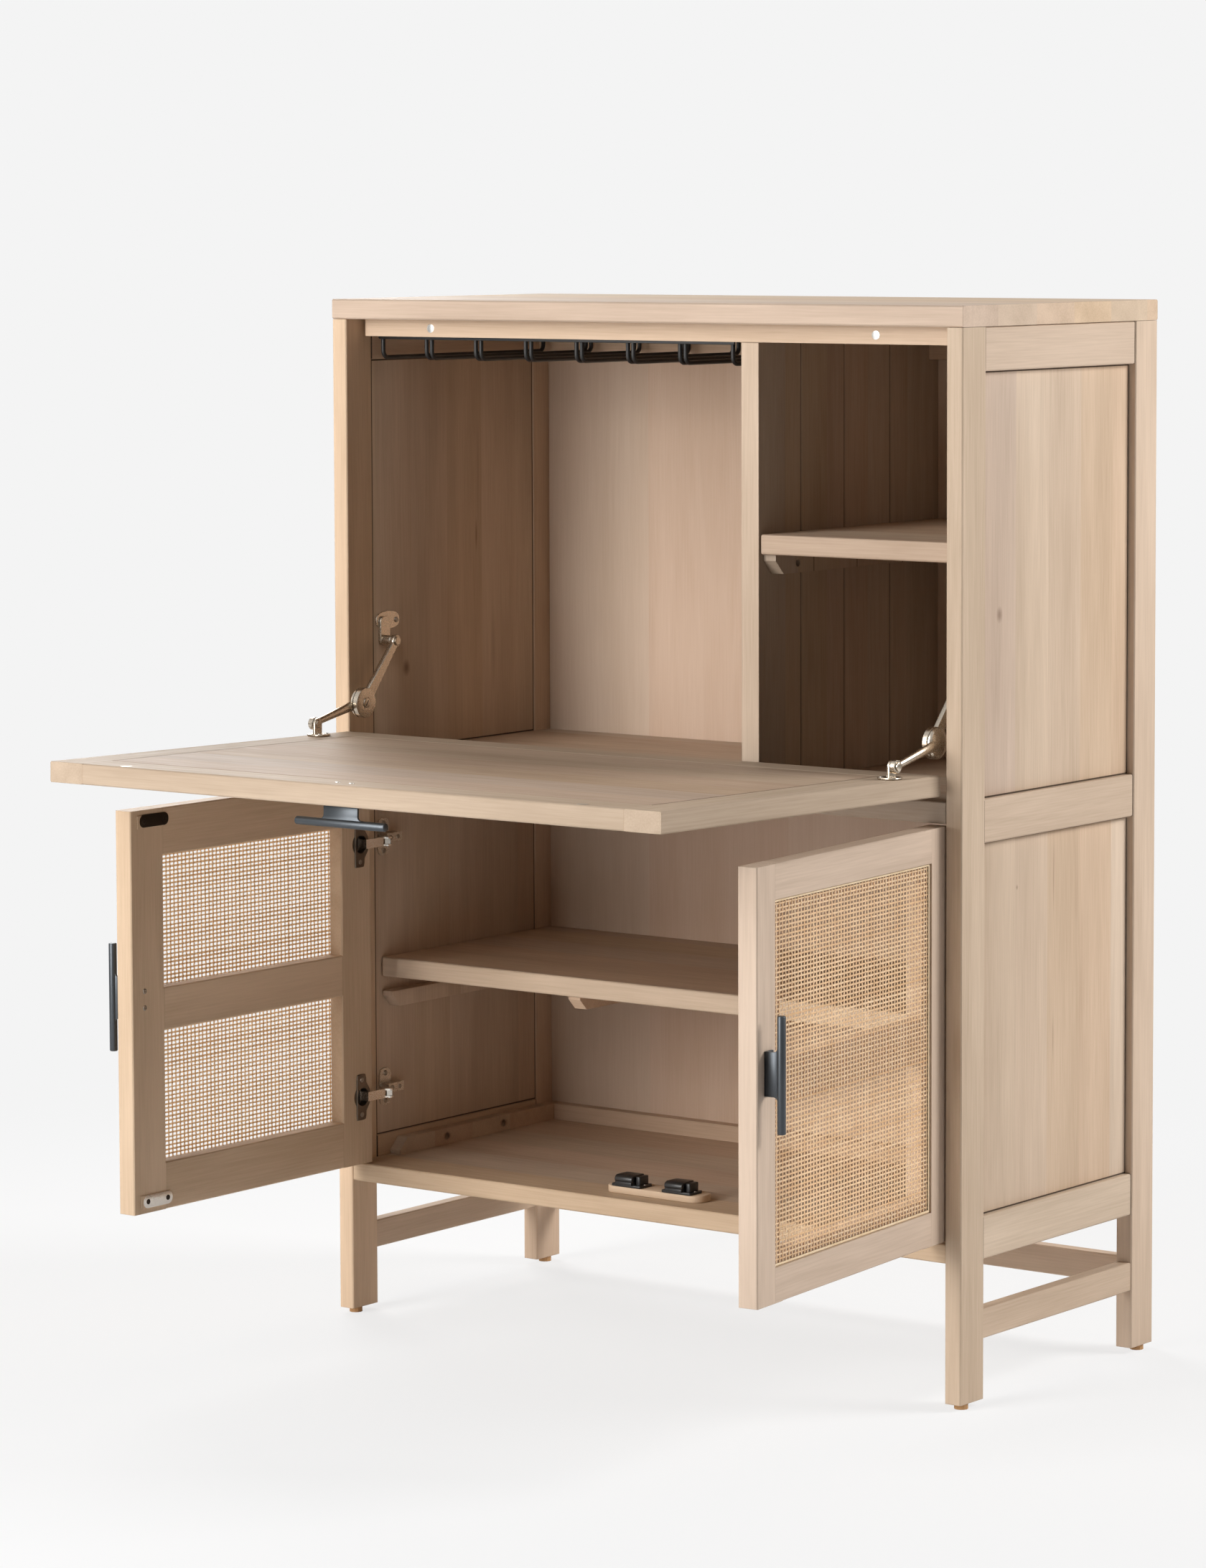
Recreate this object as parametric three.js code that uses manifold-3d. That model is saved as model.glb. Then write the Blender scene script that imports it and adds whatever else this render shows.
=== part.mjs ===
import * as THREE from 'three';
import { mergeVertices } from 'three/addons/utils/BufferGeometryUtils.js';
import Module from 'manifold-3d';

// A wooden bar cabinet with two cane doors below and a flap above that folds down into a shelf.
// X runs across the cabinet from its centre, Y from the front face of the legs backwards and
// Z up from the floor. All lengths are in millimetres. It stands open, as it is used.

// Driving sizes of the whole cabinet.
const overallWidth = 1020;
const overallDepth = 468;
const overallHeight = 1397;
const bottomLevel = 187.3;
const shelfLevel = 774.5;
const fit = 0.3;
const overrun = 2;
const easedEdge = 1.5;

// Driving sizes of the legs, rails and boards.
const postWidth = 24;
const postDepth = 54;
const glideHeight = 8;
const topThickness = 27;
const railInset = 1.5;
const upperRailHeight = 55.7;
const middleRailHeight = 55.5;
const bottomRailHeight = 55;
const panelThickness = 12;
const panelReveal = 1.5;
const floorThickness = 25;
const shelfThickness = 27.5;
const backThickness = 9;
const backInset = 9;

// Driving sizes of what moves, and how far it stands open.
const leafThickness = 26.7;
const leafGap = 3;
const doorOpenDegrees = { left: 90.53, right: 95.42 };
const flapOpenDegrees = 88.94;

// Places that several pieces share.
const halfWidth = overallWidth / 2;
const innerHalf = halfWidth - postWidth;
const slabUnderside = overallHeight - topThickness;
const frameTop = slabUnderside - fit;
const seatHalf = innerHalf - fit;
const railFront = postDepth + fit;
const railBack = overallDepth - postDepth - fit;
const panelInner = innerHalf + panelReveal;
const floorTop = bottomLevel + floorThickness;
const shelfUnderside = shelfLevel - shelfThickness;
const backRear = overallDepth - backInset;
const boardBack = backRear - backThickness - fit;
const sides = [['left', -1], ['right', 1]];

const wasm = await Module();
wasm.setup();
const cabinet = new THREE.Group();

const wood = { color: '#dcc2a3', roughness: 0.6, metalness: 0 };
const shadedWood = { color: '#c9ab8a', roughness: 0.65, metalness: 0 };
const weave = { color: '#d9bb94', roughness: 0.8, metalness: 0 };
const gunmetal = { color: '#4a4e55', roughness: 0.35, metalness: 0.9 };
const nickel = { color: '#b5b2ac', roughness: 0.3, metalness: 1 };
const blackPlastic = { color: '#1f1e1e', roughness: 0.5, metalness: 0 };
const blackWire = { color: '#1b1a1a', roughness: 0.4, metalness: 0.6 };

// Adds one named sub-part with its own material.
function add(name, geometry, look, parent = cabinet) {
  const mesh = new THREE.Mesh(geometry, new THREE.MeshStandardMaterial(look));
  mesh.name = name;
  parent.add(mesh);
  return mesh;
}

// Keeps only the corners and faces of a geometry, with shared corners merged.
function bare(geometry) {
  const copy = geometry.clone();
  copy.deleteAttribute('normal');
  copy.deleteAttribute('uv');
  return mergeVertices(copy);
}

function toSolid(geometry) {
  const merged = bare(geometry);
  return new wasm.Manifold(new wasm.Mesh({
    numProp: 3,
    vertProperties: Float32Array.from(merged.attributes.position.array),
    triVerts: Uint32Array.from(merged.index.array),
  }));
}

function toGeometry(solid) {
  const mesh = solid.getMesh();
  const geometry = new THREE.BufferGeometry();
  geometry.setAttribute('position', new THREE.BufferAttribute(mesh.vertProperties, 3));
  geometry.setIndex(new THREE.BufferAttribute(mesh.triVerts, 1));
  return geometry;
}

function cut(base, ...cutters) {
  return toGeometry(cutters.reduce((solid, cutter) => solid.subtract(toSolid(cutter)), toSolid(base)));
}

function fuse(first, ...others) {
  return toGeometry(others.reduce((solid, other) => solid.add(toSolid(other)), toSolid(first)));
}

// The same shape on the other side of the cabinet, with its faces still pointing out.
function mirrored(geometry) {
  const copy = bare(geometry).scale(-1, 1, 1);
  const order = copy.index.array;
  for (let i = 0; i < order.length; i += 3) {
    [order[i + 1], order[i + 2]] = [order[i + 2], order[i + 1]];
  }
  return copy;
}

function onSide(side, geometry) {
  return side < 0 ? mirrored(geometry) : geometry;
}

const axes = [new THREE.Vector3(1, 0, 0), new THREE.Vector3(0, 1, 0), new THREE.Vector3(0, 0, 1)];
const turns = {
  x: new THREE.Matrix4().makeBasis(axes[1], axes[2], axes[0]),
  y: new THREE.Matrix4().makeBasis(axes[2], axes[0], axes[1]),
  z: new THREE.Matrix4(),
};

// An outline run straight along one axis. Its points are (Y, Z) along X, (X, Z) along Y and
// (X, Y) along Z.
function prism(outline, axis, [start, end]) {
  const points = outline.map(([u, v]) => (axis === 'y' ? new THREE.Vector2(v, u) : new THREE.Vector2(u, v)));
  const geometry = new THREE.ExtrudeGeometry(new THREE.Shape(points), { depth: end - start, bevelEnabled: false });
  return geometry.translate(0, 0, start).applyMatrix4(turns[axis]);
}

// Points of an arc about (u, v), both ends included.
function arc(u, v, radius, fromDegrees, toDegrees, steps) {
  return Array.from({ length: steps + 1 }, (_, i) => {
    const angle = THREE.MathUtils.degToRad(fromDegrees + ((toDegrees - fromDegrees) * i) / steps);
    return [u + radius * Math.cos(angle), v + radius * Math.sin(angle)];
  });
}

// A rectangle with its corners cut at 45 degrees, or rounded where steps is over one.
function softRectangle([u0, u1], [v0, v1], corner, steps = 1) {
  return [
    ...arc(u1 - corner, v1 - corner, corner, 0, 90, steps),
    ...arc(u0 + corner, v1 - corner, corner, 90, 180, steps),
    ...arc(u0 + corner, v0 + corner, corner, 180, 270, steps),
    ...arc(u1 - corner, v0 + corner, corner, 270, 360, steps),
  ];
}

function block([x0, x1], [y0, y1], [z0, z1]) {
  return new THREE.BoxGeometry(x1 - x0, y1 - y0, z1 - z0).translate((x0 + x1) / 2, (y0 + y1) / 2, (z0 + z1) / 2);
}

// A board whose long edges, along its grain, are eased.
function board(x, y, z, grain, corner = easedEdge, steps = 1) {
  const [u, v, along] = { x: [y, z, x], y: [x, z, y], z: [x, y, z] }[grain];
  return prism(softRectangle(u, v, corner, steps), grain, along);
}

// A round bar along one axis about the point (u, v) of its section.
function bar(axis, [u, v], along, radius, steps = 16) {
  return prism(arc(u, v, radius, 0, 360, steps).slice(1), axis, along);
}

// The same distance on both sides of zero.
function across(half) {
  return [-half, half];
}

function spanOf(centre, length) {
  return [centre - length / 2, centre + length / 2];
}

// Four legs, eased along their height, each standing on a round glide nailed to its foot.
function legs() {
  const glideRadius = 9;
  const glideInset = 20;
  const rows = [
    ['front', [0, postDepth], glideInset],
    ['rear', [overallDepth - postDepth, overallDepth], overallDepth - glideInset],
  ];
  for (const [row, depth, glideY] of rows) {
    const post = board([innerHalf, halfWidth], depth, [glideHeight, frameTop], 'z');
    const glide = bar('z', [halfWidth - postWidth / 2, glideY], [0, glideHeight + overrun], glideRadius, 12);
    const leg = fuse(post, glide);
    for (const [name, side] of sides) {
      add(`post_${row}_${name}`, onSide(side, leg), wood);
    }
  }
}

// The slab that covers the legs, its long edges eased a little more than the other boards'.
function topSlab() {
  const corner = 2;
  add('top_slab', board(across(halfWidth), [0, overallDepth], [slabUnderside, overallHeight], 'x', corner), wood);
}

// A strip whose front end is cut away at 45 degrees on the side that hangs or stands free.
function cleat(x, [front, back], [attached, free], nose) {
  const away = Math.sign(free - attached);
  const slope = Math.abs(free - attached) - nose;
  return prism([
    [front, attached],
    [front, attached + away * nose],
    [front + slope, free],
    [back, free],
    [back, attached],
  ], 'x', x);
}

// Cuts round screw pockets into a strip from the side that faces along X.
function pocketed(strip, faceX, inward, places, level) {
  const radius = 5;
  const depth = 8;
  const along = inward > 0 ? [faceX - overrun, faceX + depth] : [faceX - depth, faceX + overrun];
  return cut(strip, ...places.map((y) => bar('x', [y, level], along, radius, 10)));
}

// The pins of the flap's stays on the side panels, and the top of the brackets that hold them.
const wallPinY = 73;
const wallPinZ = shelfLevel + 153.5;
const bracketTop = wallPinZ + 40;

// The loose shelves stand at a share of the free height of their compartments.
const rightShelfShare = 0.2614;
const lowerShelfShare = 0.4689;
const rightShelf = { thickness: 26, front: 32, gap: 2.5 };
const lowerShelf = { thickness: 26.5, front: 66, gap: 2 };
rightShelf.underside = bracketTop + (frameTop - bracketTop) * rightShelfShare;
lowerShelf.underside = floorTop + (shelfUnderside - floorTop) * lowerShelfShare;
const cleatEnd = boardBack - 19.7;
const upperCleat = { width: 20, height: 25.7, front: 40, nose: 8, pocket: 50 };
const lowerCleat = { width: 18, height: 21.7, front: 68, nose: 6 };

function upperCleatHoles(strip, faceX, inward) {
  const places = [upperCleat.front + upperCleat.pocket, cleatEnd - upperCleat.pocket];
  return pocketed(strip, faceX, inward, places, rightShelf.underside - fit - upperCleat.height / 2);
}

// The strip on a side panel that carries a loose shelf, with the web that fixes it to the panel.
function wallCleat(size, top) {
  const level = [top, top - size.height];
  const strip = cleat([seatHalf - size.width, seatHalf], [size.front, cleatEnd], level, size.nose);
  const slope = size.height - size.nose;
  const front = Math.max(railFront, size.front + slope);
  return fuse(strip, block([seatHalf - overrun, panelInner + overrun], [front, railBack], [level[1], level[0]]));
}

// Side frames: three rails and two panels a side, each panel two boards with a groove between.
// The cleats of the loose shelves are glued to the panels.
function sideFrames() {
  const railOuter = halfWidth - railInset;
  const depth = [railFront, railBack];
  const middleBottom = shelfLevel - middleRailHeight;
  const bottomTop = bottomLevel + bottomRailHeight;
  const upperBottom = frameTop - upperRailHeight;
  const rails = [
    ['upper', [upperBottom, frameTop]],
    ['mid', [middleBottom, shelfLevel]],
    ['bottom', [bottomLevel, bottomTop]],
  ];
  const grooveShare = 0.475;
  const grooveY = railFront + (railBack - railFront) * grooveShare;
  const grooveDepth = 2;
  const panelOuter = panelInner + panelThickness;
  const outline = [
    [panelInner, railFront],
    [panelOuter, railFront],
    [panelOuter, grooveY - grooveDepth],
    [panelOuter - grooveDepth, grooveY],
    [panelOuter, grooveY + grooveDepth],
    [panelOuter, railBack],
    [panelInner, railBack],
    [panelInner, grooveY + grooveDepth],
    [panelInner + grooveDepth, grooveY],
    [panelInner, grooveY - grooveDepth],
  ];
  const upperPanel = prism(outline, 'z', [shelfLevel + fit, upperBottom - fit]);
  const lowerPanel = prism(outline, 'z', [bottomTop + fit, middleBottom - fit]);
  const plainCleat = wallCleat(upperCleat, rightShelf.underside - fit);
  const shelfCleat = upperCleatHoles(plainCleat, seatHalf - upperCleat.width, 1);
  const panels = {
    left: upperPanel,
    right: fuse(upperPanel, shelfCleat),
    lower: fuse(lowerPanel, wallCleat(lowerCleat, lowerShelf.underside - fit)),
  };
  for (const [name, side] of sides) {
    for (const [place, height] of rails) {
      add(`${name}_${place}_rail`, onSide(side, board([innerHalf, railOuter], depth, height, 'y')), wood);
    }
    add(`${name}_upper_panel`, onSide(side, panels[name]), shadedWood);
    add(`${name}_lower_panel`, onSide(side, panels.lower), shadedWood);
  }
}

// Stretchers that tie the legs under the cabinet, at the sides and the rear.
function stretchers() {
  const bottom = 85;
  const height = 38;
  const thickness = 20;
  const rear = overallDepth - overrun;
  const level = [bottom, bottom + height];
  const outer = halfWidth - railInset;
  for (const [name, side] of sides) {
    const strip = board([outer - thickness, outer], [railFront, railBack], level, 'y');
    add(`${name}_stretcher`, onSide(side, strip), wood);
  }
  add('rear_stretcher', board(across(seatHalf), [rear - thickness, rear], level, 'x'), wood);
}

// Thin back panel between the rear legs.
function backPanel() {
  const depth = [backRear - backThickness, backRear];
  add('back_panel', block(across(seatHalf), depth, [bottomLevel, frameTop]), shadedWood);
}

const topRail = { front: leafThickness + 0.8, thickness: 22, height: 23.2, half: innerHalf - 7, corner: 8 };
const rearRail = { thickness: 21.7, height: upperRailHeight };
const magnet = { x: topRail.half - 118, level: frameTop - topRail.height / 2, radius: 6, proud: 0.25 };

// Rails under the top slab; two magnets that hold the flap stand just proud of the front one.
function topRails() {
  const rearDepth = [boardBack - rearRail.thickness, boardBack];
  add('top_rear_rail', board(across(seatHalf), rearDepth, [frameTop - rearRail.height, frameTop], 'x'), wood);
  const depth = [topRail.front, topRail.front + topRail.thickness];
  const outline = softRectangle(across(topRail.half), depth, topRail.corner, 3);
  const front = prism(outline, 'z', [frameTop - topRail.height, frameTop]);
  const magnets = sides.map(([, side]) => bar(
    'y',
    [side * magnet.x, magnet.level],
    [topRail.front - magnet.proud, topRail.front + overrun],
    magnet.radius,
    12,
  ));
  add('top_front_rail', fuse(front, ...magnets), wood);
}

// Floor board with a cleat screwed on along each side, and the shelf between the compartments.
function fixedShelves() {
  const floorFront = 2;
  const shelfFront = 0.5;
  const strip = { width: 18, height: 22.7, front: 82, behind: 3.7, nose: 6, pockets: [104, 232] };
  const floor = board(across(seatHalf), [floorFront, boardBack], [bottomLevel, floorTop], 'x');
  const level = [floorTop - overrun, floorTop + strip.height];
  const depth = [strip.front, boardBack - strip.behind];
  const plain = cleat([seatHalf - strip.width, seatHalf], depth, level, strip.nose + overrun);
  const places = strip.pockets.map((y) => strip.front + y);
  const pocketLevel = floorTop + strip.height / 2;
  const right = pocketed(plain, seatHalf - strip.width, 1, places, pocketLevel);
  const rear = block(across(seatHalf), [boardBack - strip.width, boardBack], level);
  add('floor_board', fuse(floor, right, mirrored(right), rear), wood);
  add('mid_shelf', board(across(seatHalf), [shelfFront, boardBack], [shelfUnderside, shelfLevel], 'x'), wood);
}

const divider = { left: 151, right: 178, front: 30 };

// Upright between the upper compartments, notched for the top rails. Its right face is grooved
// and carries the cleat of the right-hand shelf.
function upright() {
  const grooveShares = [0.229, 0.467, 0.724];
  const grooveDepth = 2;
  const grooves = grooveShares.flatMap((share) => {
    const y = divider.front + (boardBack - divider.front) * share;
    return [
      [divider.right, y - grooveDepth],
      [divider.right - grooveDepth, y],
      [divider.right, y + grooveDepth],
    ];
  });
  const outline = [
    [divider.left, divider.front],
    [divider.right, divider.front],
    ...grooves,
    [divider.right, boardBack],
    [divider.left, boardBack],
  ];
  const width = [divider.left - overrun, divider.right + overrun];
  const frontNotch = block(
    width,
    [divider.front - overrun, topRail.front + topRail.thickness + fit],
    [frameTop - topRail.height - fit, frameTop + overrun],
  );
  const rearNotch = block(
    width,
    [boardBack - rearRail.thickness - fit, boardBack + overrun],
    [frameTop - rearRail.height - fit, frameTop + overrun],
  );
  const top = rightShelf.underside - fit;
  const face = divider.right + upperCleat.width;
  const strip = cleat(
    [divider.right - grooveDepth * 2, face],
    [upperCleat.front, cleatEnd],
    [top, top - upperCleat.height],
    upperCleat.nose,
  );
  const panel = cut(prism(outline, 'z', [shelfLevel + fit, frameTop]), frontNotch, rearNotch);
  add('divider', fuse(panel, upperCleatHoles(strip, face, -1)), wood);
}

// Loose shelves: one in the right upper compartment, and one across the lower compartment with
// two battens fixed under it.
function looseShelves() {
  const rightDepth = [rightShelf.front, boardBack];
  const rightLevel = [rightShelf.underside, rightShelf.underside + rightShelf.thickness];
  const rightWidth = [divider.right + rightShelf.gap, innerHalf - lowerShelf.gap];
  add('right_shelf', board(rightWidth, rightDepth, rightLevel, 'x', easedEdge * 2, 2), wood);
  const batten = { x: 162, width: 20, height: 20.3, front: 80, nose: 6 };
  const lowerTop = lowerShelf.underside + lowerShelf.thickness;
  const plank = board(
    across(innerHalf - lowerShelf.gap),
    [lowerShelf.front, boardBack],
    [lowerShelf.underside, lowerTop],
    'x',
  );
  const battens = sides.map(([, side]) => cleat(
    spanOf(side * batten.x, batten.width),
    [batten.front, cleatEnd],
    [lowerShelf.underside + overrun, lowerShelf.underside - batten.height],
    batten.nose + overrun,
  ));
  add('lower_shelf', fuse(plank, ...battens), wood);
}

const doorCatch = { front: 28.8, depth: 31.2, width: 58, height: 17.5, x: 42 };
const catchStrip = { half: 78, front: 32, depth: 40, thickness: 9.4, corner: 12 };
const catchSeats = [
  { name: 'lower_door_catch', root: floorTop + fit, away: 1 },
  { name: 'upper_door_catch', root: shelfUnderside - fit, away: -1 },
].map((seat) => ({ ...seat, level: seat.root + seat.away * (catchStrip.thickness + doorCatch.height / 2) }));

// A pair of magnetic catches on a round-ended strip, one pair on the floor, one under the shelf.
function doorCatches() {
  const outline = softRectangle(
    across(catchStrip.half),
    [catchStrip.front, catchStrip.front + catchStrip.depth],
    catchStrip.corner,
    3,
  );
  for (const { name, root, away, level } of catchSeats) {
    const strip = prism(outline, 'z', spanOf(root + (away * catchStrip.thickness) / 2, catchStrip.thickness));
    const bodies = sides.map(([, side]) => block(
      spanOf(side * doorCatch.x, doorCatch.width),
      [doorCatch.front, doorCatch.front + doorCatch.depth],
      spanOf(level - (away * fit) / 2, doorCatch.height + fit),
    ));
    add(name, fuse(strip, ...bodies), blackPlastic);
  }
}

// A round wire carried along a route that stays in one plane across X, mitred at its corners.
function wireAlong(route, radius, count) {
  const section = arc(0, 0, radius, 0, 360, count).slice(1);
  const rings = route.map((place, i) => {
    const before = i > 0 ? place.clone().sub(route[i - 1]).normalize() : null;
    const after = i < route.length - 1 ? route[i + 1].clone().sub(place).normalize() : null;
    const square = before ?? after;
    const along = before && after ? before.clone().add(after).normalize() : square;
    const side = new THREE.Vector3(0, along.z, -along.y).divideScalar(along.dot(square));
    return section.map(([u, v]) => place.clone().addScaledVector(axes[0], u).addScaledVector(side, v));
  });
  const order = [];
  for (let ring = 0; ring < rings.length - 1; ring += 1) {
    for (let i = 0; i < count; i += 1) {
      const a = ring * count + i;
      const b = ring * count + ((i + 1) % count);
      order.push(a, b, b + count, a, b + count, a + count);
    }
  }
  const last = (rings.length - 1) * count;
  for (let i = 1; i < count - 1; i += 1) {
    order.push(0, i + 1, i);
    order.push(last, last + i, last + i + 1);
  }
  const geometry = new THREE.BufferGeometry();
  geometry.setFromPoints(rings.flat());
  geometry.setIndex(order);
  return geometry;
}

// Welded wire rack for stemmed glasses: two flat bars under the top and rods hung between them.
function glassRack() {
  const wire = { radius: 3, drop: 52.7, bend: 9, side: 19, beside: 32, pairGap: 9, slots: 7 };
  const flat = { behind: 2.5, before: 10, thickness: 3, height: 27.7, overhang: 5 };
  wire.level = frameTop - wire.drop;
  wire.first = wire.side - innerHalf;
  wire.pitch = (divider.left - wire.beside + wire.pairGap - wire.first) / wire.slots;
  flat.front = topRail.front + topRail.thickness + flat.behind;
  flat.back = boardBack - rearRail.thickness - flat.before;
  flat.bottom = frameTop - flat.height;
  const slotWidth = wire.pitch - wire.pairGap;
  const last = wire.first + wire.pitch * wire.slots - wire.pairGap;
  const flats = [flat.front, flat.back - flat.thickness].map((y) => block(
    [wire.first - flat.overhang, last + flat.overhang],
    [y, y + flat.thickness],
    [flat.bottom, frameTop],
  ));
  const legFront = flat.front + flat.thickness + wire.radius / 2;
  const legBack = flat.back - flat.thickness - wire.radius / 2;
  const legTop = flat.bottom + wire.radius * 2;
  const corner = (y, inward) => [0, 45, 90].map((degrees) => {
    const angle = THREE.MathUtils.degToRad(degrees);
    const across = inward * wire.bend * (1 - Math.cos(angle));
    return new THREE.Vector3(0, y + across, wire.level + wire.bend * (1 - Math.sin(angle)));
  });
  const route = [
    new THREE.Vector3(0, legFront, legTop),
    ...corner(legFront, 1),
    ...corner(legBack, -1).reverse(),
    new THREE.Vector3(0, legBack, legTop),
  ];
  const rod = wireAlong(route, wire.radius, 6);
  const starts = Array.from({ length: wire.slots }, (_, i) => wire.first + wire.pitch * i);
  const rods = starts.flatMap((x) => [x, x + slotWidth]).map((x) => rod.clone().translate(x, 0, 0));
  add('stemware_rack', fuse(...flats, ...rods), blackWire);
}

const handle = { length: 142, radius: 5.25, reach: 23, width: 54, thickness: 3, foot: 17.5, edge: 17.5, fillet: 5 };

// A pull: a bar along Z in front of a bent plate whose foot lies behind it, just off Y zero.
function pull() {
  const half = handle.width / 2;
  const flare = half + handle.fillet;
  const bend = handle.fillet + handle.radius - handle.reach;
  const web = prism([
    [-fit, -half],
    ...arc(bend, -flare, handle.fillet, 90, 180, 3),
    [-handle.reach, -flare],
    [-handle.reach, flare],
    ...arc(bend, flare, handle.fillet, 180, 270, 3),
    [-fit, half],
  ], 'x', spanOf(0, handle.thickness));
  const foot = block(
    [-handle.thickness / 2, handle.foot - handle.thickness / 2],
    [-handle.thickness - fit, -fit],
    across(half),
  );
  return fuse(bar('z', [0, -handle.reach], across(handle.length / 2), handle.radius), web, foot);
}

const doorAxis = { x: innerHalf - 7.6, y: 5 };
const doorEdge = innerHalf - leafGap - doorAxis.x;
const doorFree = leafGap / 2 - doorAxis.x;
const doorLevel = [floorTop + leafGap, shelfUnderside - leafGap];
const doorFace = -doorAxis.y;
const doorInside = leafThickness - doorAxis.y;
const link = { thickness: 5, height: 12.5, eye: 6, hook: 8.2, hookLength: 8, slot: 7.6, pin: 2 };
const cup = { inset: 22.5, radius: 16, wall: 1.5, floor: 1.5, flange: 1.5, width: 23, height: 67 };
cup.depth = link.hook + fit + cup.floor;
const hingeRise = 92.7;
const hingeDrop = 88;
const hinges = [['lower', doorLevel[0] + hingeRise], ['upper', doorLevel[1] - hingeDrop]];

// A door frame in one glued piece, rebated for the cane, bored for two cups and with two strikes.
function doorFrame(member, rebateDepth) {
  const [bottom, top] = doorLevel;
  const depth = [doorFace, doorInside];
  const stiles = [
    [doorFree, doorFree + member.inner],
    [doorEdge - member.inner, doorEdge],
  ].map((width) => board(width, depth, doorLevel, 'z'));
  const railWidth = [doorFree + member.inner - overrun, doorEdge - member.inner + overrun];
  const rails = [
    [bottom, bottom + member.inner],
    spanOf((bottom + top) / 2, member.middle),
    [top - member.inner, top],
  ].map((level) => board(railWidth, depth, level, 'x'));
  const plate = { thickness: 1.5, width: 56, height: 17 };
  const strikes = catchSeats.map(({ level }) => block(
    spanOf(doorCatch.x - doorAxis.x, plate.width),
    [doorInside - overrun, doorInside + plate.thickness],
    spanOf(level, plate.height),
  ));
  const rebate = block(
    [doorFree + member.outer, doorEdge - member.outer],
    [doorFace - overrun, doorFace + rebateDepth],
    [bottom + member.outer, top - member.outer],
  );
  const pockets = hinges.map(([, level]) => bar(
    'y',
    [doorEdge - cup.inset, level],
    [doorInside - cup.depth - fit, doorInside + overrun],
    cup.radius + fit,
    20,
  ));
  return cut(fuse(...stiles, ...rails, ...strikes), rebate, ...pockets);
}

// A round hinge cup with its oblong flange on the door's inner face.
function hingeCup(level) {
  const x = doorEdge - cup.inset;
  const face = doorInside + fit;
  const flange = [face, face + cup.flange];
  const oblong = softRectangle(spanOf(x, cup.width), spanOf(level, cup.height), cup.width / 2 - fit, 3);
  const barrel = bar('y', [x, level], [doorInside - cup.depth, face + fit], cup.radius, 20);
  const rim = bar('y', [x, level], flange, cup.radius + cup.flange, 20);
  const hollowDepth = [doorInside - cup.depth + cup.floor, face + cup.flange + overrun];
  const hollow = bar('y', [x, level], hollowDepth, cup.radius - cup.wall, 20);
  return cut(fuse(prism(oblong, 'y', flange), rim, barrel), hollow);
}

// One cane door about its hinge axis.
function door(name, side) {
  const member = { outer: 43, inner: 62, middle: 56 };
  const cane = { recess: 3.5, thickness: 2 };
  const handleRise = 16.5;
  const pivot = new THREE.Group();
  pivot.position.set(side * doorAxis.x, doorAxis.y, 0);
  pivot.rotation.z = side * THREE.MathUtils.degToRad(doorOpenDegrees[name]);
  cabinet.add(pivot);
  const [bottom, top] = doorLevel;
  const frame = doorFrame(member, cane.recess + cane.thickness + fit);
  const sheet = block(
    [doorFree + member.outer + fit, doorEdge - member.outer - fit],
    [doorFace + cane.recess, doorFace + cane.recess + cane.thickness],
    [bottom + member.outer + fit, top - member.outer - fit],
  );
  const grip = pull().translate(doorFree + handle.edge, doorFace, (bottom + top) / 2 + handleRise);
  add(`${name}_door_frame`, onSide(side, frame), wood, pivot);
  add(`${name}_door_cane`, onSide(side, sheet), weave, pivot);
  add(`${name}_door_handle`, onSide(side, grip), gunmetal, pivot);
  for (const [place, level] of hinges) {
    add(`${name}_${place}_hinge_cup`, onSide(side, hingeCup(level)), nickel, pivot);
  }
}

const linkPivot = { x: innerHalf - 37, y: 36 };

// The way from a hinge link's pin to the middle of its cup when the door stands open, turned back
// to where the link lies when the door is closed.
function linkReach(openDegrees) {
  const open = THREE.MathUtils.degToRad(openDegrees);
  const centre = new THREE.Vector2();
  const inCup = new THREE.Vector2(doorEdge - cup.inset, doorInside).rotateAround(centre, open);
  const pin = new THREE.Vector2(linkPivot.x - doorAxis.x, linkPivot.y - doorAxis.y);
  return inCup.sub(pin).rotateAround(centre, -open);
}

// A hinge link about its pin, as it lies when the door is closed: a slotted eye on the hinge arm
// and a strap along the door whose end hooks into the cup.
function hingeLink(level, openDegrees) {
  const reach = linkReach(openDegrees);
  const height = spanOf(level, link.height);
  const low = reach.y + cup.flange + fit * 2;
  const high = low + link.thickness;
  const heel = reach.x + Math.sqrt((cup.radius - cup.wall) ** 2 - (link.height / 2) ** 2) - fit;
  const tip = heel - link.hookLength;
  const strap = prism([
    [0, high],
    [tip, high],
    [tip, reach.y - link.hook],
    [heel, reach.y - link.hook],
    [heel, low],
    [0, low],
  ], 'z', height);
  const slotHalf = link.eye + overrun;
  const slot = block(across(slotHalf), across(slotHalf), spanOf(level, link.slot));
  const eye = cut(fuse(strap, bar('z', [0, 0], height, link.eye, 14)), slot);
  return fuse(eye, bar('z', [0, 0], height, link.pin, 10));
}

// The two links of one door, turning with it about their own pins.
function hingeLinks(name, side) {
  const pivot = new THREE.Group();
  pivot.position.set(side * linkPivot.x, linkPivot.y, 0);
  pivot.rotation.z = side * THREE.MathUtils.degToRad(doorOpenDegrees[name]);
  cabinet.add(pivot);
  for (const [place, level] of hinges) {
    add(`${name}_${place}_hinge_link`, onSide(side, hingeLink(level, doorOpenDegrees[name])), nickel, pivot);
  }
}

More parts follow.
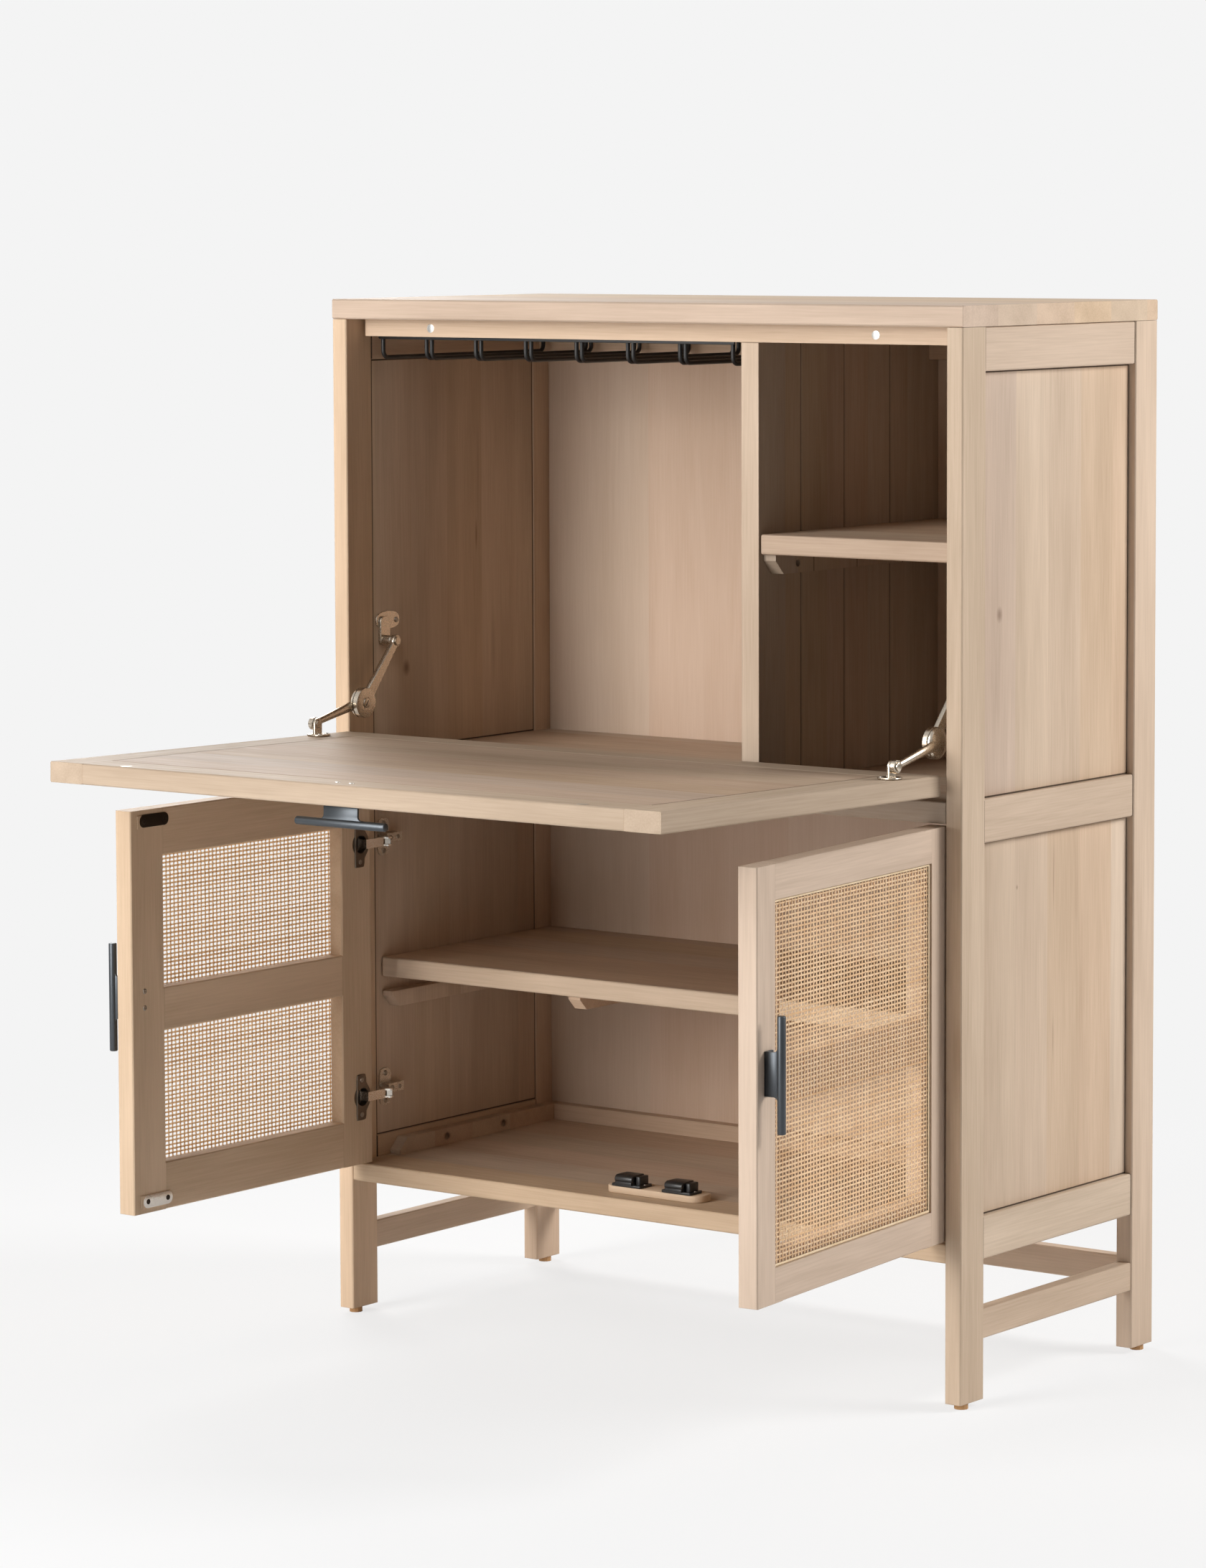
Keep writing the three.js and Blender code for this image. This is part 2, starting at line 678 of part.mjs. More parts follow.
// A hinge arm on its plate on the side panel, with a bored blade that takes the link's pin.
function hingeArm(level) {
  const plate = { thickness: 2, width: 24, height: 52, y: 72 };
  const arm = { thickness: 14, back: 95, shoulder: 62, tip: 5.2, height: 12.5 };
  const wall = panelInner - fit;
  const top = wall - plate.thickness - arm.thickness;
  const root = wall - plate.thickness * 2;
  const foot = prism(
    softRectangle(spanOf(plate.y, plate.width), spanOf(level, plate.height), plate.width / 3, 2),
    'x',
    [wall - plate.thickness, wall],
  );
  const bodyWidth = [top, wall - plate.thickness / 2];
  const body = block(bodyWidth, [arm.shoulder, arm.back], spanOf(level, arm.height));
  const bladeHeight = spanOf(level, link.slot - fit * 2);
  const blade = prism([
    [top + overrun, arm.shoulder + overrun],
    [linkPivot.x, linkPivot.y + arm.tip],
    [linkPivot.x - arm.tip, linkPivot.y],
    [linkPivot.x, linkPivot.y - arm.tip],
    [linkPivot.x + arm.tip, linkPivot.y - arm.tip],
    [root, arm.shoulder - arm.tip],
    [root, arm.shoulder + overrun],
  ], 'z', bladeHeight);
  const bore = bar('z', [linkPivot.x, linkPivot.y], spanOf(level, link.height), link.pin + fit, 10);
  return cut(fuse(foot, body, blade), bore);
}

function hingeArms() {
  for (const [name, side] of sides) {
    for (const [place, level] of hinges) {
      add(`${name}_${place}_hinge_arm`, onSide(side, hingeArm(level)), nickel);
    }
  }
}

const flapAxis = { y: -6.5, z: shelfLevel + 1.1 };
const flapGap = 2.5;
const flapFace = -flapAxis.y;
const flapInside = flapFace + leafThickness;
const flapBottom = shelfLevel + flapGap - flapAxis.z;
const flapTop = slabUnderside - leafGap - flapAxis.z;
const flapHalf = innerHalf - leafGap;

const flapPivot = new THREE.Group();
flapPivot.position.set(0, flapAxis.y, flapAxis.z);
flapPivot.rotation.x = THREE.MathUtils.degToRad(flapOpenDegrees);
cabinet.add(flapPivot);

// The flap about its hinge axis: a glued frame with two strike discs, its panel and its pull.
function flap() {
  const width = 55;
  const pullOffset = -16;
  const disc = { radius: 8, proud: 0.25 };
  const depth = [flapFace, flapInside];
  const inner = flapHalf - width;
  const stiles = sides.map(([, side]) => onSide(side, board([inner, flapHalf], depth, [flapBottom, flapTop], 'z')));
  const rails = [
    [flapBottom, flapBottom + width],
    [flapTop - width, flapTop],
  ].map((level) => board(across(inner + overrun), depth, level, 'x'));
  const discs = sides.map(([, side]) => bar(
    'y',
    [side * magnet.x, magnet.level - flapAxis.z],
    [flapInside - overrun, flapInside + disc.proud],
    disc.radius,
    14,
  ));
  add('flap_frame', fuse(...stiles, ...rails, ...discs), wood, flapPivot);
  const panelLevel = [flapBottom + width + fit, flapTop - width - fit];
  add('flap_panel', board(across(inner - fit), depth, panelLevel, 'x'), shadedWood, flapPivot);
  const grip = pull().rotateY(Math.PI / 2).translate(pullOffset, flapFace, flapTop - handle.edge);
  add('flap_handle', grip, gunmetal, flapPivot);
}

// A long hinge whose leaves lie in the gap under the closed flap, with its knuckles in front.
function flapHinge() {
  const size = { half: 400, knuckles: 8, radius: 4.5, leaf: 0.8, depth: 31.5 };
  const step = (size.half * 2) / size.knuckles;
  const clear = size.radius + fit * 2;
  const leaf = (level, odd) => {
    const places = Array.from({ length: size.knuckles }, (_, i) => i).filter((i) => i % 2 === odd);
    const spans = places.map((i) => [i * step - size.half + fit / 2, (i + 1) * step - size.half - fit / 2]);
    return fuse(
      block(across(size.half), [clear, size.depth], level),
      ...spans.map((along) => block(along, [0, clear + fit], level)),
      ...spans.map((along) => bar('x', [0, 0], along, size.radius, 10)),
    );
  };
  const seat = shelfLevel - flapAxis.z + fit;
  const shelfLeaf = leaf([seat, seat + size.leaf], 0).translate(0, flapAxis.y, flapAxis.z);
  add('flap_hinge_shelf_leaf', shelfLeaf, nickel);
  add('flap_hinge_flap_leaf', leaf([flapBottom - fit - size.leaf, flapBottom - fit], 1), nickel, flapPivot);
}

const stay = {
  flapDepth: 49.8,
  flapLevel: 85.4,
  upperLength: 104.5,
  lowerLength: 99,
  hub: 20.5,
  pin: 3.5,
  upperInner: innerHalf - 27,
  upperOuter: innerHalf - 19,
  lowerOuter: innerHalf - 10.4,
};

// Where the two stay arms meet, below the line from the flap's pin to the wall's pin.
function stayPlaces() {
  const open = THREE.MathUtils.degToRad(flapOpenDegrees);
  const flapPin = new THREE.Vector2(stay.flapDepth, stay.flapLevel).rotateAround(new THREE.Vector2(), open);
  flapPin.add(new THREE.Vector2(flapAxis.y, flapAxis.z));
  const wallPin = new THREE.Vector2(wallPinY, wallPinZ);
  const between = wallPin.clone().sub(flapPin);
  const distance = between.length();
  const along = (distance ** 2 + stay.lowerLength ** 2 - stay.upperLength ** 2) / (2 * distance);
  const aside = Math.sqrt(Math.max(0, stay.lowerLength ** 2 - along ** 2));
  const direction = between.normalize();
  const hub = flapPin.clone().addScaledVector(direction, along);
  hub.add(new THREE.Vector2(direction.y, -direction.x).multiplyScalar(aside));
  return { flapPin, wallPin, hub };
}

// The stay arm on the cabinet: a flat bar with a round end that covers the other arm's.
function upperArm() {
  const size = { eye: 9, half: 4.8, cap: 9, capThickness: 2 };
  const width = [stay.upperInner, stay.upperOuter];
  const shape = fuse(
    bar('x', [0, 0], width, size.eye),
    block(width, [0, stay.upperLength], across(size.half)),
    bar('x', [stay.upperLength, 0], width, stay.hub, 24),
    bar('x', [stay.upperLength, 0], [width[0] - size.capThickness, width[0] + fit], size.cap),
  );
  return cut(shape, bar('x', [0, 0], [width[0] - overrun, width[1] + overrun], stay.pin + fit, 12));
}

// The stay arm on the flap: a tapered bar with a round end against the other arm's.
function lowerArm() {
  const size = { eye: 9, root: 5, tip: 4 };
  const width = [stay.upperOuter + fit * 2, stay.lowerOuter];
  const taper = prism([
    [0, -size.root],
    [stay.lowerLength, -size.tip],
    [stay.lowerLength, size.tip],
    [0, size.root],
  ], 'x', width);
  const shape = fuse(bar('x', [0, 0], width, size.eye), taper, bar('x', [stay.lowerLength, 0], width, stay.hub, 24));
  return cut(shape, bar('x', [0, 0], [width[0] - overrun, width[1] + overrun], stay.pin + fit, 12));
}

// The bracket on the side panel, with a strap down to the boss and pin of the upper arm.
function wallBracket() {
  const plate = { front: 14, back: 37, height: 26, thickness: 2.5, corner: 7 };
  const boss = { radius: 8, strap: 18, round: 11, head: 7, headThickness: 2 };
  const wall = panelInner - fit;
  const width = [wall - plate.thickness, wall];
  const pin = [wallPinY, wallPinZ];
  const depth = [wallPinY - plate.front, wallPinY + plate.back];
  const headBack = stay.upperInner - fit;
  return fuse(
    prism(softRectangle(depth, [bracketTop - plate.height, bracketTop], plate.corner, 2), 'x', width),
    block(width, spanOf(wallPinY, boss.strap), [wallPinZ, bracketTop - plate.corner]),
    bar('x', pin, width, boss.round),
    bar('x', pin, [stay.upperOuter + fit, wall - plate.thickness / 2], boss.radius, 14),
    bar('x', pin, [headBack - boss.headThickness / 2, wall], stay.pin, 12),
    bar('x', pin, [headBack - boss.headThickness, headBack], boss.head, 14),
  );
}

// The oval foot on the flap, with a lug and pin for the lower arm.
function flapBracket() {
  const foot = { length: 28, width: 30, side: 8, thickness: 3, lug: 4, lugHalf: 8, head: 6, corner: 11 };
  const outer = innerHalf - foot.side;
  const armInner = stay.upperOuter + fit * 2;
  const lugWidth = [armInner - fit - foot.lug, armInner - fit];
  const depth = [flapInside + fit, flapInside + fit + foot.thickness];
  const pin = [stay.flapDepth, stay.flapLevel];
  const headStart = stay.lowerOuter + fit;
  const oval = softRectangle([outer - foot.width, outer], spanOf(stay.flapLevel, foot.length), foot.corner, 3);
  return fuse(
    prism(oval, 'y', depth),
    block(lugWidth, [depth[0], stay.flapDepth], spanOf(stay.flapLevel, foot.lugHalf * 2)),
    bar('x', pin, lugWidth, foot.lugHalf),
    bar('x', pin, [lugWidth[0], headStart + fit], stay.pin, 12),
    bar('x', pin, [headStart, headStart + foot.lug / 2], foot.head, 14),
  );
}

// Folding stays at both ends of the flap. Each arm is a moving piece of its own; where the arms
// meet, their round ends lie side by side.
function stays() {
  const { flapPin, wallPin, hub } = stayPlaces();
  for (const [name, side] of sides) {
    const wallArm = add(`${name}_stay_upper_arm`, onSide(side, upperArm()), nickel);
    wallArm.position.set(0, wallPin.x, wallPin.y);
    wallArm.rotation.x = hub.clone().sub(wallPin).angle();
    const flapArm = add(`${name}_stay_lower_arm`, onSide(side, lowerArm()), nickel);
    flapArm.position.set(0, flapPin.x, flapPin.y);
    flapArm.rotation.x = hub.clone().sub(flapPin).angle();
    add(`${name}_stay_wall_bracket`, onSide(side, wallBracket()), nickel);
    add(`${name}_stay_flap_bracket`, onSide(side, flapBracket()), nickel, flapPivot);
  }
}

legs();
topSlab();
sideFrames();
stretchers();
backPanel();
topRails();
fixedShelves();
upright();
looseShelves();
doorCatches();
glassRack();
for (const [name, side] of sides) {
  door(name, side);
  hingeLinks(name, side);
}
hingeArms();
flap();
flapHinge();
stays();

// The origin is on the floor, in the middle of the ground that the open cabinet covers.
const ground = new THREE.Box3().setFromObject(cabinet, true);
const middle = ground.getCenter(new THREE.Vector3());
cabinet.position.set(-middle.x, -middle.y, -ground.min.z);

export default cabinet;
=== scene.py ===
import math

import bmesh
import bpy
import numpy as np
from mathutils import Matrix, Vector


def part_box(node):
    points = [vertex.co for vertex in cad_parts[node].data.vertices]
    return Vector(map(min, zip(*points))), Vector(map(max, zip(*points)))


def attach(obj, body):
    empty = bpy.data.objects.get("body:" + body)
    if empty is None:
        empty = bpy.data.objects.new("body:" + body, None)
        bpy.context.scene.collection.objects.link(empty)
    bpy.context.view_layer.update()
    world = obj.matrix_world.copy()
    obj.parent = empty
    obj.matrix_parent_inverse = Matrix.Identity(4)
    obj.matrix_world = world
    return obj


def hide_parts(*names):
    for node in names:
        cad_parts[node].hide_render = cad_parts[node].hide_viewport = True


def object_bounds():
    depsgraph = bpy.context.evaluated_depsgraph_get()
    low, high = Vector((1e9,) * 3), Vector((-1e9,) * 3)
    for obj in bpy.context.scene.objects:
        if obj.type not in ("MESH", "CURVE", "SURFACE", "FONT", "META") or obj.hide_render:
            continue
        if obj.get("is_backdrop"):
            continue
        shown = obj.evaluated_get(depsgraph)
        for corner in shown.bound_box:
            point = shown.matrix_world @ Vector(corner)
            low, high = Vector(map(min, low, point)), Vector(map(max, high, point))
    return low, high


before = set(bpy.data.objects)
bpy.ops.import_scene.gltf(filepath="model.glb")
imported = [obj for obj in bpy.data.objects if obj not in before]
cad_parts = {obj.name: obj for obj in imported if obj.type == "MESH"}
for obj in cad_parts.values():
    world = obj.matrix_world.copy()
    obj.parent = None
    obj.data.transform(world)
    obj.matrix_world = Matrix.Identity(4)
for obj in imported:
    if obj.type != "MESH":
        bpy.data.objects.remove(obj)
solid_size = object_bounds()

# The cabinet's own measure. X runs from its middle, Y from the front of its legs backwards and
# Z from the floor, in millimetres, as a joiner would mark it. The top slab gives its place.
slab_low, slab_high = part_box("top_slab")
corner_place = np.array([(slab_low.x + slab_high.x) / 2, slab_low.y, 0.0])


def place(points):
    """Millimetres of the cabinet to metres of the frame: divide by 1000 and add the slab's place."""
    return np.asarray(points, float) / 1000 + corner_place


# The camera. A long lens a little above the cabinet's top looks slightly down at it, with its film
# shifted a little, so that the legs stay nearly upright in the picture. Its place comes from the
# picture's perspective.
picture_high, focal_pixels = 2185, 7273.9
camera_at = (4060.0, -5456.8, 1525.8)
yaw, pitch, roll = 0.6434, -0.0841, -0.0034
lens = bpy.data.cameras.new("long_lens")
lens.sensor_width = 36
lens.lens = focal_pixels * lens.sensor_width / picture_high
lens.shift_x, lens.shift_y = -0.0076, -0.09
lens.clip_end = 100
camera = bpy.data.objects.new("camera", lens)
camera.matrix_world = (Matrix.Translation(place(camera_at)) @ Matrix.Rotation(yaw, 4, "Z")
                       @ Matrix.Rotation(math.pi / 2 + pitch, 4, "X") @ Matrix.Rotation(roll, 4, "Z"))
bpy.context.scene.collection.objects.link(camera)
bpy.context.scene.camera = camera


# The room. A smooth white studio floor that turns into the plain pale backdrop without a line,
# and takes the cabinet's soft shadow.
def linear(code):
    """sRGB hex to linear colour: each part c is c / 12.92 below 0.04045, else ((c + 0.055) / 1.055) ** 2.4."""
    parts = [int(code[i:i + 2], 16) / 255 for i in (1, 3, 5)]
    return tuple(c / 12.92 if c < 0.04045 else ((c + 0.055) / 1.055) ** 2.4 for c in parts) + (1.0,)


def add(tree, kind, sockets, **settings):
    """Adds one shader node: sockets are its inputs by name or number, settings its own properties."""
    node = tree.nodes.new("ShaderNode" + kind)
    for key, value in settings.items():
        setattr(node, key, value)
    for key, value in sockets.items():
        if isinstance(value, bpy.types.NodeSocket):
            tree.links.new(value, node.inputs[key])
        else:
            node.inputs[key].default_value = value
    return node.outputs


def material(name):
    """A new material, its empty node tree, and the point of the piece that its patterns read."""
    made = bpy.data.materials.new(name)
    made.use_nodes = True
    tree = made.node_tree
    tree.nodes.clear()
    return made, tree, add(tree, "TexCoord", {})["Object"]


backdrop = linear("#F4F4F4")
world = bpy.data.worlds.new("studio")
world.use_nodes = True
bpy.context.scene.world = world
tree = world.node_tree
tree.nodes.clear()
path = add(tree, "LightPath", {})
seen = add(tree, "Math", {0: path["Is Camera Ray"], 1: path["Is Transmission Ray"]}, operation="MAXIMUM")[0]
shown = add(tree, "Background", {"Color": backdrop, "Strength": 1.0})[0]
lit = add(tree, "Background", {"Color": linear("#FFFDFA"), "Strength": 0.04})[0]
# Polished pieces mirror a white ceiling and a dim room below it.
rise = add(tree, "SeparateXYZ", {0: add(tree, "TexCoord", {})["Object"]})[2]
dim = add(tree, "MapRange", {"Value": rise, "From Min": -0.1, "From Max": 0.35, "To Min": 0.12, "To Max": 0.8})[0]
ceiling = add(tree, "Background", {"Color": backdrop, "Strength": dim})[0]
unseen = add(tree, "MixShader", {0: path["Is Glossy Ray"], 1: lit, 2: ceiling})[0]
both = add(tree, "MixShader", {0: seen, 1: unseen, 2: shown})[0]
add(tree, "OutputWorld", {"Surface": both})

floor_half = 14.0
floor_mesh = bpy.data.meshes.new("studio_floor")
floor_mesh.from_pydata(
    [(x * floor_half, y * floor_half, 0) for x, y in ((-1, -1), (1, -1), (1, 1), (-1, 1))], [], [(0, 1, 2, 3)])
floor = bpy.data.objects.new("studio_floor", floor_mesh)
bpy.context.scene.collection.objects.link(floor)
paper, tree, here = material("seamless_white_paper")
away = add(tree, "VectorMath", {0: here}, operation="LENGTH")["Value"]
far = add(tree, "MapRange", {"Value": away, "From Min": 0.9, "From Max": 2.4}, interpolation_type="SMOOTHSTEP")[0]
sheet = add(tree, "BsdfPrincipled", {"Base Color": linear("#EFF0F2"), "Roughness": 0.9, "Specular IOR Level": 0.1})[0]
# The camera sees the paper nearly evenly bright, with about a quarter of its true shading near the feet.
level = add(tree, "MapRange", {"Value": far, "To Min": 1.04, "To Max": 1.0})[0]
glow = add(tree, "Emission", {"Color": backdrop, "Strength": level})[0]
share = add(tree, "MapRange", {"Value": far, "To Min": 0.76, "To Max": 1.0})[0]
path = add(tree, "LightPath", {})
plain = add(tree, "Math", {0: path["Is Camera Ray"], 1: share}, operation="MULTIPLY")[0]
both = add(tree, "MixShader", {0: plain, 1: sheet, 2: glow})[0]
add(tree, "OutputMaterial", {"Surface": both})
floor_mesh.materials.append(paper)
floor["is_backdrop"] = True


# The light. Two soft boxes stand in front, a little to the left, one low and one higher up. Two
# behind the cabinet's corners light its sides, and a weak one stands at its left, so that its
# inside stays in shade. Each is given by its turn from the front, its rise and its watts.
box_side, box_away, box_aim = 2.2, 5000, (0, 200, 750)
for name, turn, rise, watts in (("low_front", 15, 10, 152), ("high_front", 15, 32, 100),
                                ("right_rear", -122, 28, 225), ("left_rear", 122, 28, 140), ("left", 70, 12, 14)):
    turn, rise = math.radians(turn), math.radians(rise)
    stand = (-box_away * math.sin(turn) * math.cos(rise), box_aim[1] - box_away * math.cos(turn) * math.cos(rise),
             box_aim[2] + box_away * math.sin(rise))
    lamp = bpy.data.lights.new(name + "_soft_box", "AREA")
    lamp.shape = "RECTANGLE"
    lamp.size = lamp.size_y = box_side
    lamp.energy = watts
    lamp.color = (1.0, 0.985, 0.965)
    held = bpy.data.objects.new(lamp.name, lamp)
    start, end = Vector(place(stand)), Vector(place(box_aim))
    held.matrix_world = Matrix.Translation(start) @ (end - start).to_track_quat("-Z", "Y").to_matrix().to_4x4()
    bpy.context.scene.collection.objects.link(held)


# Solid wood. The carcass is light, open-grained hardwood, glued up from staves, sanded, toned
# pale and sealed with a matt varnish: fine pores and soft streaks along the grain, a knot here
# and there, and a slightly different tone from stave to stave.
pale, tan = "#D2BAA3", "#BBA38C"


def in_grain(tree, point, along):
    """A point with its axes in the order across, across, along the grain."""
    parts = add(tree, "SeparateXYZ", {0: point})
    order = {"X": (1, 2, 0), "Y": (0, 2, 1), "Z": (0, 1, 2)}[along]
    return add(tree, "CombineXYZ", {i: parts[part] for i, part in enumerate(order)})[0]


def wood_grain(tree, grain, seed, light=pale, dark=tan, stave=None, knots=1.0, tone=1.0):
    """Colour, roughness and height of sealed wood from a point in grain order, in metres.

    stave is (axis, width in mm) of glued-up strips; each strip shifts the pattern and the tone.
    tone darkens or lightens the whole board.
    """
    shift = add(tree, "VectorMath", {0: grain, 1: (seed * 1.7, seed * 0.9, seed * 2.3)}, operation="ADD")[0]
    number = seed
    if stave:
        axis, width = stave
        sideways = add(tree, "SeparateXYZ", {0: grain})[axis]
        strip = add(tree, "Math", {0: sideways, 1: 1000 / width, 2: seed + 0.37}, operation="MULTIPLY_ADD")[0]
        number = add(tree, "Math", {0: strip}, operation="FLOOR")[0]
    chance = add(tree, "TexWhiteNoise", {"W": number}, noise_dimensions="1D")
    jump = add(tree, "VectorMath", {0: chance["Color"], "Scale": 3.0}, operation="SCALE")[0]
    point = add(tree, "VectorMath", {0: shift, 1: jump}, operation="ADD")[0]
    # Turns per metre across and along the grain: streaks 17 mm wide and 420 mm long, the swell that
    # bends the rings, clouds 60 mm wide, and pores 2.4 mm wide, drawn coarser than the real 0.4 mm
    # ones so that they show.
    patterns = []
    for across, along, detail, rough in ((58, 2.4, 3.0, 0.6), (14, 1.1, 1.0, 0.5), (16, 2.2, 2.0, 0.5),
                                         (420, 13, 2.0, 0.5)):
        drawn = add(tree, "Mapping", {"Vector": point, "Scale": (across, across, along)})[0]
        patterns.append(add(tree, "TexNoise", {"Vector": drawn, "Scale": 1.0, "Detail": detail, "Roughness": rough})[0])
    streaks, swell, clouds, pores = patterns
    wave = add(tree, "Math", {0: swell, 1: 48.0}, operation="MULTIPLY")[0]
    rings = add(tree, "Math", {0: wave}, operation="SINE")[0]
    grained = clouds
    for pattern, weight in ((rings, 0.045), (streaks, 0.32), (pores, 0.6)):
        grained = add(tree, "Math", {0: pattern, 1: weight, 2: grained}, operation="MULTIPLY_ADD")[0]
    share = add(tree, "MapRange", {"Value": grained, "From Min": 0.65, "From Max": 1.28})[0]
    colour = add(tree, "Mix", {0: share, 6: linear(light), 7: linear(dark)}, data_type="RGBA")[2]
    # A knot up to 20 mm wide with a dark core, in one of five patches of 140 by 420 mm.
    cells = add(tree, "Mapping", {"Vector": point, "Scale": (7, 7, 2.4)})[0]
    spots = add(tree, "TexVoronoi", {"Vector": cells, "Scale": 1.0})
    rare = add(tree, "SeparateXYZ", {0: spots["Color"]})[0]
    near = add(tree, "MapRange", {"Value": spots["Distance"], "From Min": 0.075, "From Max": 0.015,
                                  "To Max": 0.55 * knots})[0]
    picked = add(tree, "Math", {0: rare, 1: 0.8}, operation="GREATER_THAN")[0]
    knot = add(tree, "Math", {0: near, 1: picked}, operation="MULTIPLY")[0]
    spotted = add(tree, "Mix", {0: knot, 6: colour, 7: linear("#8E6A4A")}, data_type="RGBA")[2]
    # One strip is pinker, the next greyer or greener.
    parts = add(tree, "SeparateXYZ", {0: chance["Color"]})
    change = {"Color": spotted}
    for socket, value, low, high in (("Hue", parts[1], 0.494, 0.507), ("Saturation", parts[2], 0.88, 1.12),
                                     ("Value", chance["Value"], 0.95 * tone, 1.03 * tone)):
        change[socket] = add(tree, "MapRange", {"Value": value, "To Min": low, "To Max": high})[0]
    toned = add(tree, "HueSaturation", change)[0]
    rough = add(tree, "MapRange", {"Value": pores, "From Min": 0.3, "From Max": 0.7, "To Min": 0.46, "To Max": 0.62})[0]
    return toned, rough, grained


def apart(tree, value, other):
    """How far two values lie from each other."""
    off = add(tree, "Math", {0: value, 1: other}, operation="SUBTRACT")[0]
    return add(tree, "Math", {0: off}, operation="ABSOLUTE")[0]


def score(tree, colour, point, lines, half=0.45, depth=0.6):
    """Draws dark joint lines across an axis of the point; each line is (axis, place in mm)."""
    parts = add(tree, "SeparateXYZ", {0: point})
    total = 0.0
    for axis, at in lines:
        mark = add(tree, "MapRange", {"Value": apart(tree, parts[axis], at / 1000), "From Min": (half + 0.35) / 1000,
                                      "From Max": half / 1000, "To Max": depth})[0]
        total = add(tree, "Math", {0: total, 1: mark}, operation="MAXIMUM")[0]
    return add(tree, "Mix", {0: total, 6: colour, 7: linear("#2E2017")}, data_type="RGBA")[2]


def seal(tree, colour, rough, height, gloss=0.22):
    """The matt varnish over wood: a low sheen, edges eased by 1.2 mm, and the pores just felt."""
    eased = add(tree, "Bevel", {"Radius": 0.0012}, samples=3)[0]
    felt = add(tree, "Bump", {"Strength": 0.12, "Distance": 0.0006, "Height": height, "Normal": eased})[0]
    sockets = {"Base Color": colour, "Roughness": rough, "Specular IOR Level": gloss, "Normal": felt}
    add(tree, "OutputMaterial", {"Surface": add(tree, "BsdfPrincipled", sockets)[0]})


def spot(tree, colour, point, centre, reach, depth):
    """A knot, a dark streak or the painted shade in a screw pocket: an ellipsoid of a given reach in mm about its
    place, fading to its rim.
    """
    off = add(tree, "VectorMath", {0: point, 1: tuple(place(centre))}, operation="SUBTRACT")[0]
    share = add(tree, "VectorMath", {0: off, 1: tuple(size / 1000 for size in reach)}, operation="DIVIDE")[0]
    away = add(tree, "VectorMath", {0: share}, operation="LENGTH")["Value"]
    mark = add(tree, "MapRange", {"Value": away, "From Min": 1.0, "From Max": 0.2, "To Max": depth})[0]
    return add(tree, "Mix", {0: mark, 6: colour, 7: linear("#6E5240")}, data_type="RGBA")[2]


def plank(name, along, seed, lines=(), spots=(), half=1.0, **look):
    """A board material whose grain runs along one axis of the frame; lines are joints in its face."""
    made, tree, here = material(name)
    colour, rough, height = wood_grain(tree, in_grain(tree, here, along), seed, **look)
    if lines:
        colour = score(tree, colour, here, [(axis, at + corner_place[axis] * 1000) for axis, at in lines], half, 0.88)
    for centre, reach, depth in spots:
        colour = spot(tree, colour, here, centre, reach, depth)
    seal(tree, colour, rough, height)
    return made


def dress(node, finish):
    """Gives a CAD node its finish in place of the plain one it came with."""
    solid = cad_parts[node]
    solid.data.materials.clear()
    solid.data.materials.append(finish)


def cabinet_box(node):
    """A node's limits on X, Y and Z, in millimetres of the cabinet."""
    return list(zip(*((np.array(corner) - corner_place) * 1000 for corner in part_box(node))))


# The legs. Four upright solid posts with eased edges, the front and rear ones alike, each
# standing on a round amber nylon glide nailed into its foot.
glide_top = 0.008
# Painted light: the front left leg's colour is raised to 1.1 of the other legs'.
leg_painted_light = {"front_left": 1.1, "front_right": 1.0, "rear_left": 1.0, "rear_right": 1.0}
for number, (leg, tone) in enumerate(leg_painted_light.items()):
    finish, tree, here = material("leg_wood_and_nylon_glide_" + leg)
    colour, rough, height = wood_grain(tree, in_grain(tree, here, "Z"), 3 + number, tone=tone)
    rise = add(tree, "SeparateXYZ", {0: here})[2]
    foot = add(tree, "Math", {0: rise, 1: glide_top - 0.0001}, operation="LESS_THAN")[0]
    mixed = add(tree, "Mix", {0: foot, 6: colour, 7: linear("#BE9468")}, data_type="RGBA")[2]
    seal(tree, mixed, rough, height)
    dress("post_" + leg, finish)


# The top. A slab of edge-glued staves about 90 mm wide, running across, laid over the legs with
# its edges eased.
dress("top_slab", plank("top_slab_wood", "X", 11, stave=(0, 90)))


# The side rails. Three a side are tenoned into the legs, with a fine dark line where they meet,
# and a thinner stretcher ties the legs below.
side_seed = {"left": 20, "right": 40}
rail_ends = [(1, 54.0), (1, 414.0)]
for side, seed in side_seed.items():
    for number, rail in enumerate(("upper", "mid", "bottom")):
        dress(f"{side}_{rail}_rail", plank(f"{side}_{rail}_rail_wood", "Y", seed + number, rail_ends, half=1.3))
    dress(f"{side}_stretcher", plank(f"{side}_stretcher_wood", "Y", seed + 11))


# The back. A thin panel of plain sliced veneer, softer in figure than the solid wood, with a
# rail under the top and a stretcher between the rear legs.
dress("back_panel", plank("back_veneer", "Z", 61, light="#D3BDA9", dark="#C8B09A", stave=(0, 240), knots=0.0))
for number, rail in enumerate(("rear_stretcher", "top_rear_rail", "top_front_rail")):
    dress(rail, plank(rail + "_wood", "X", 70 + number))
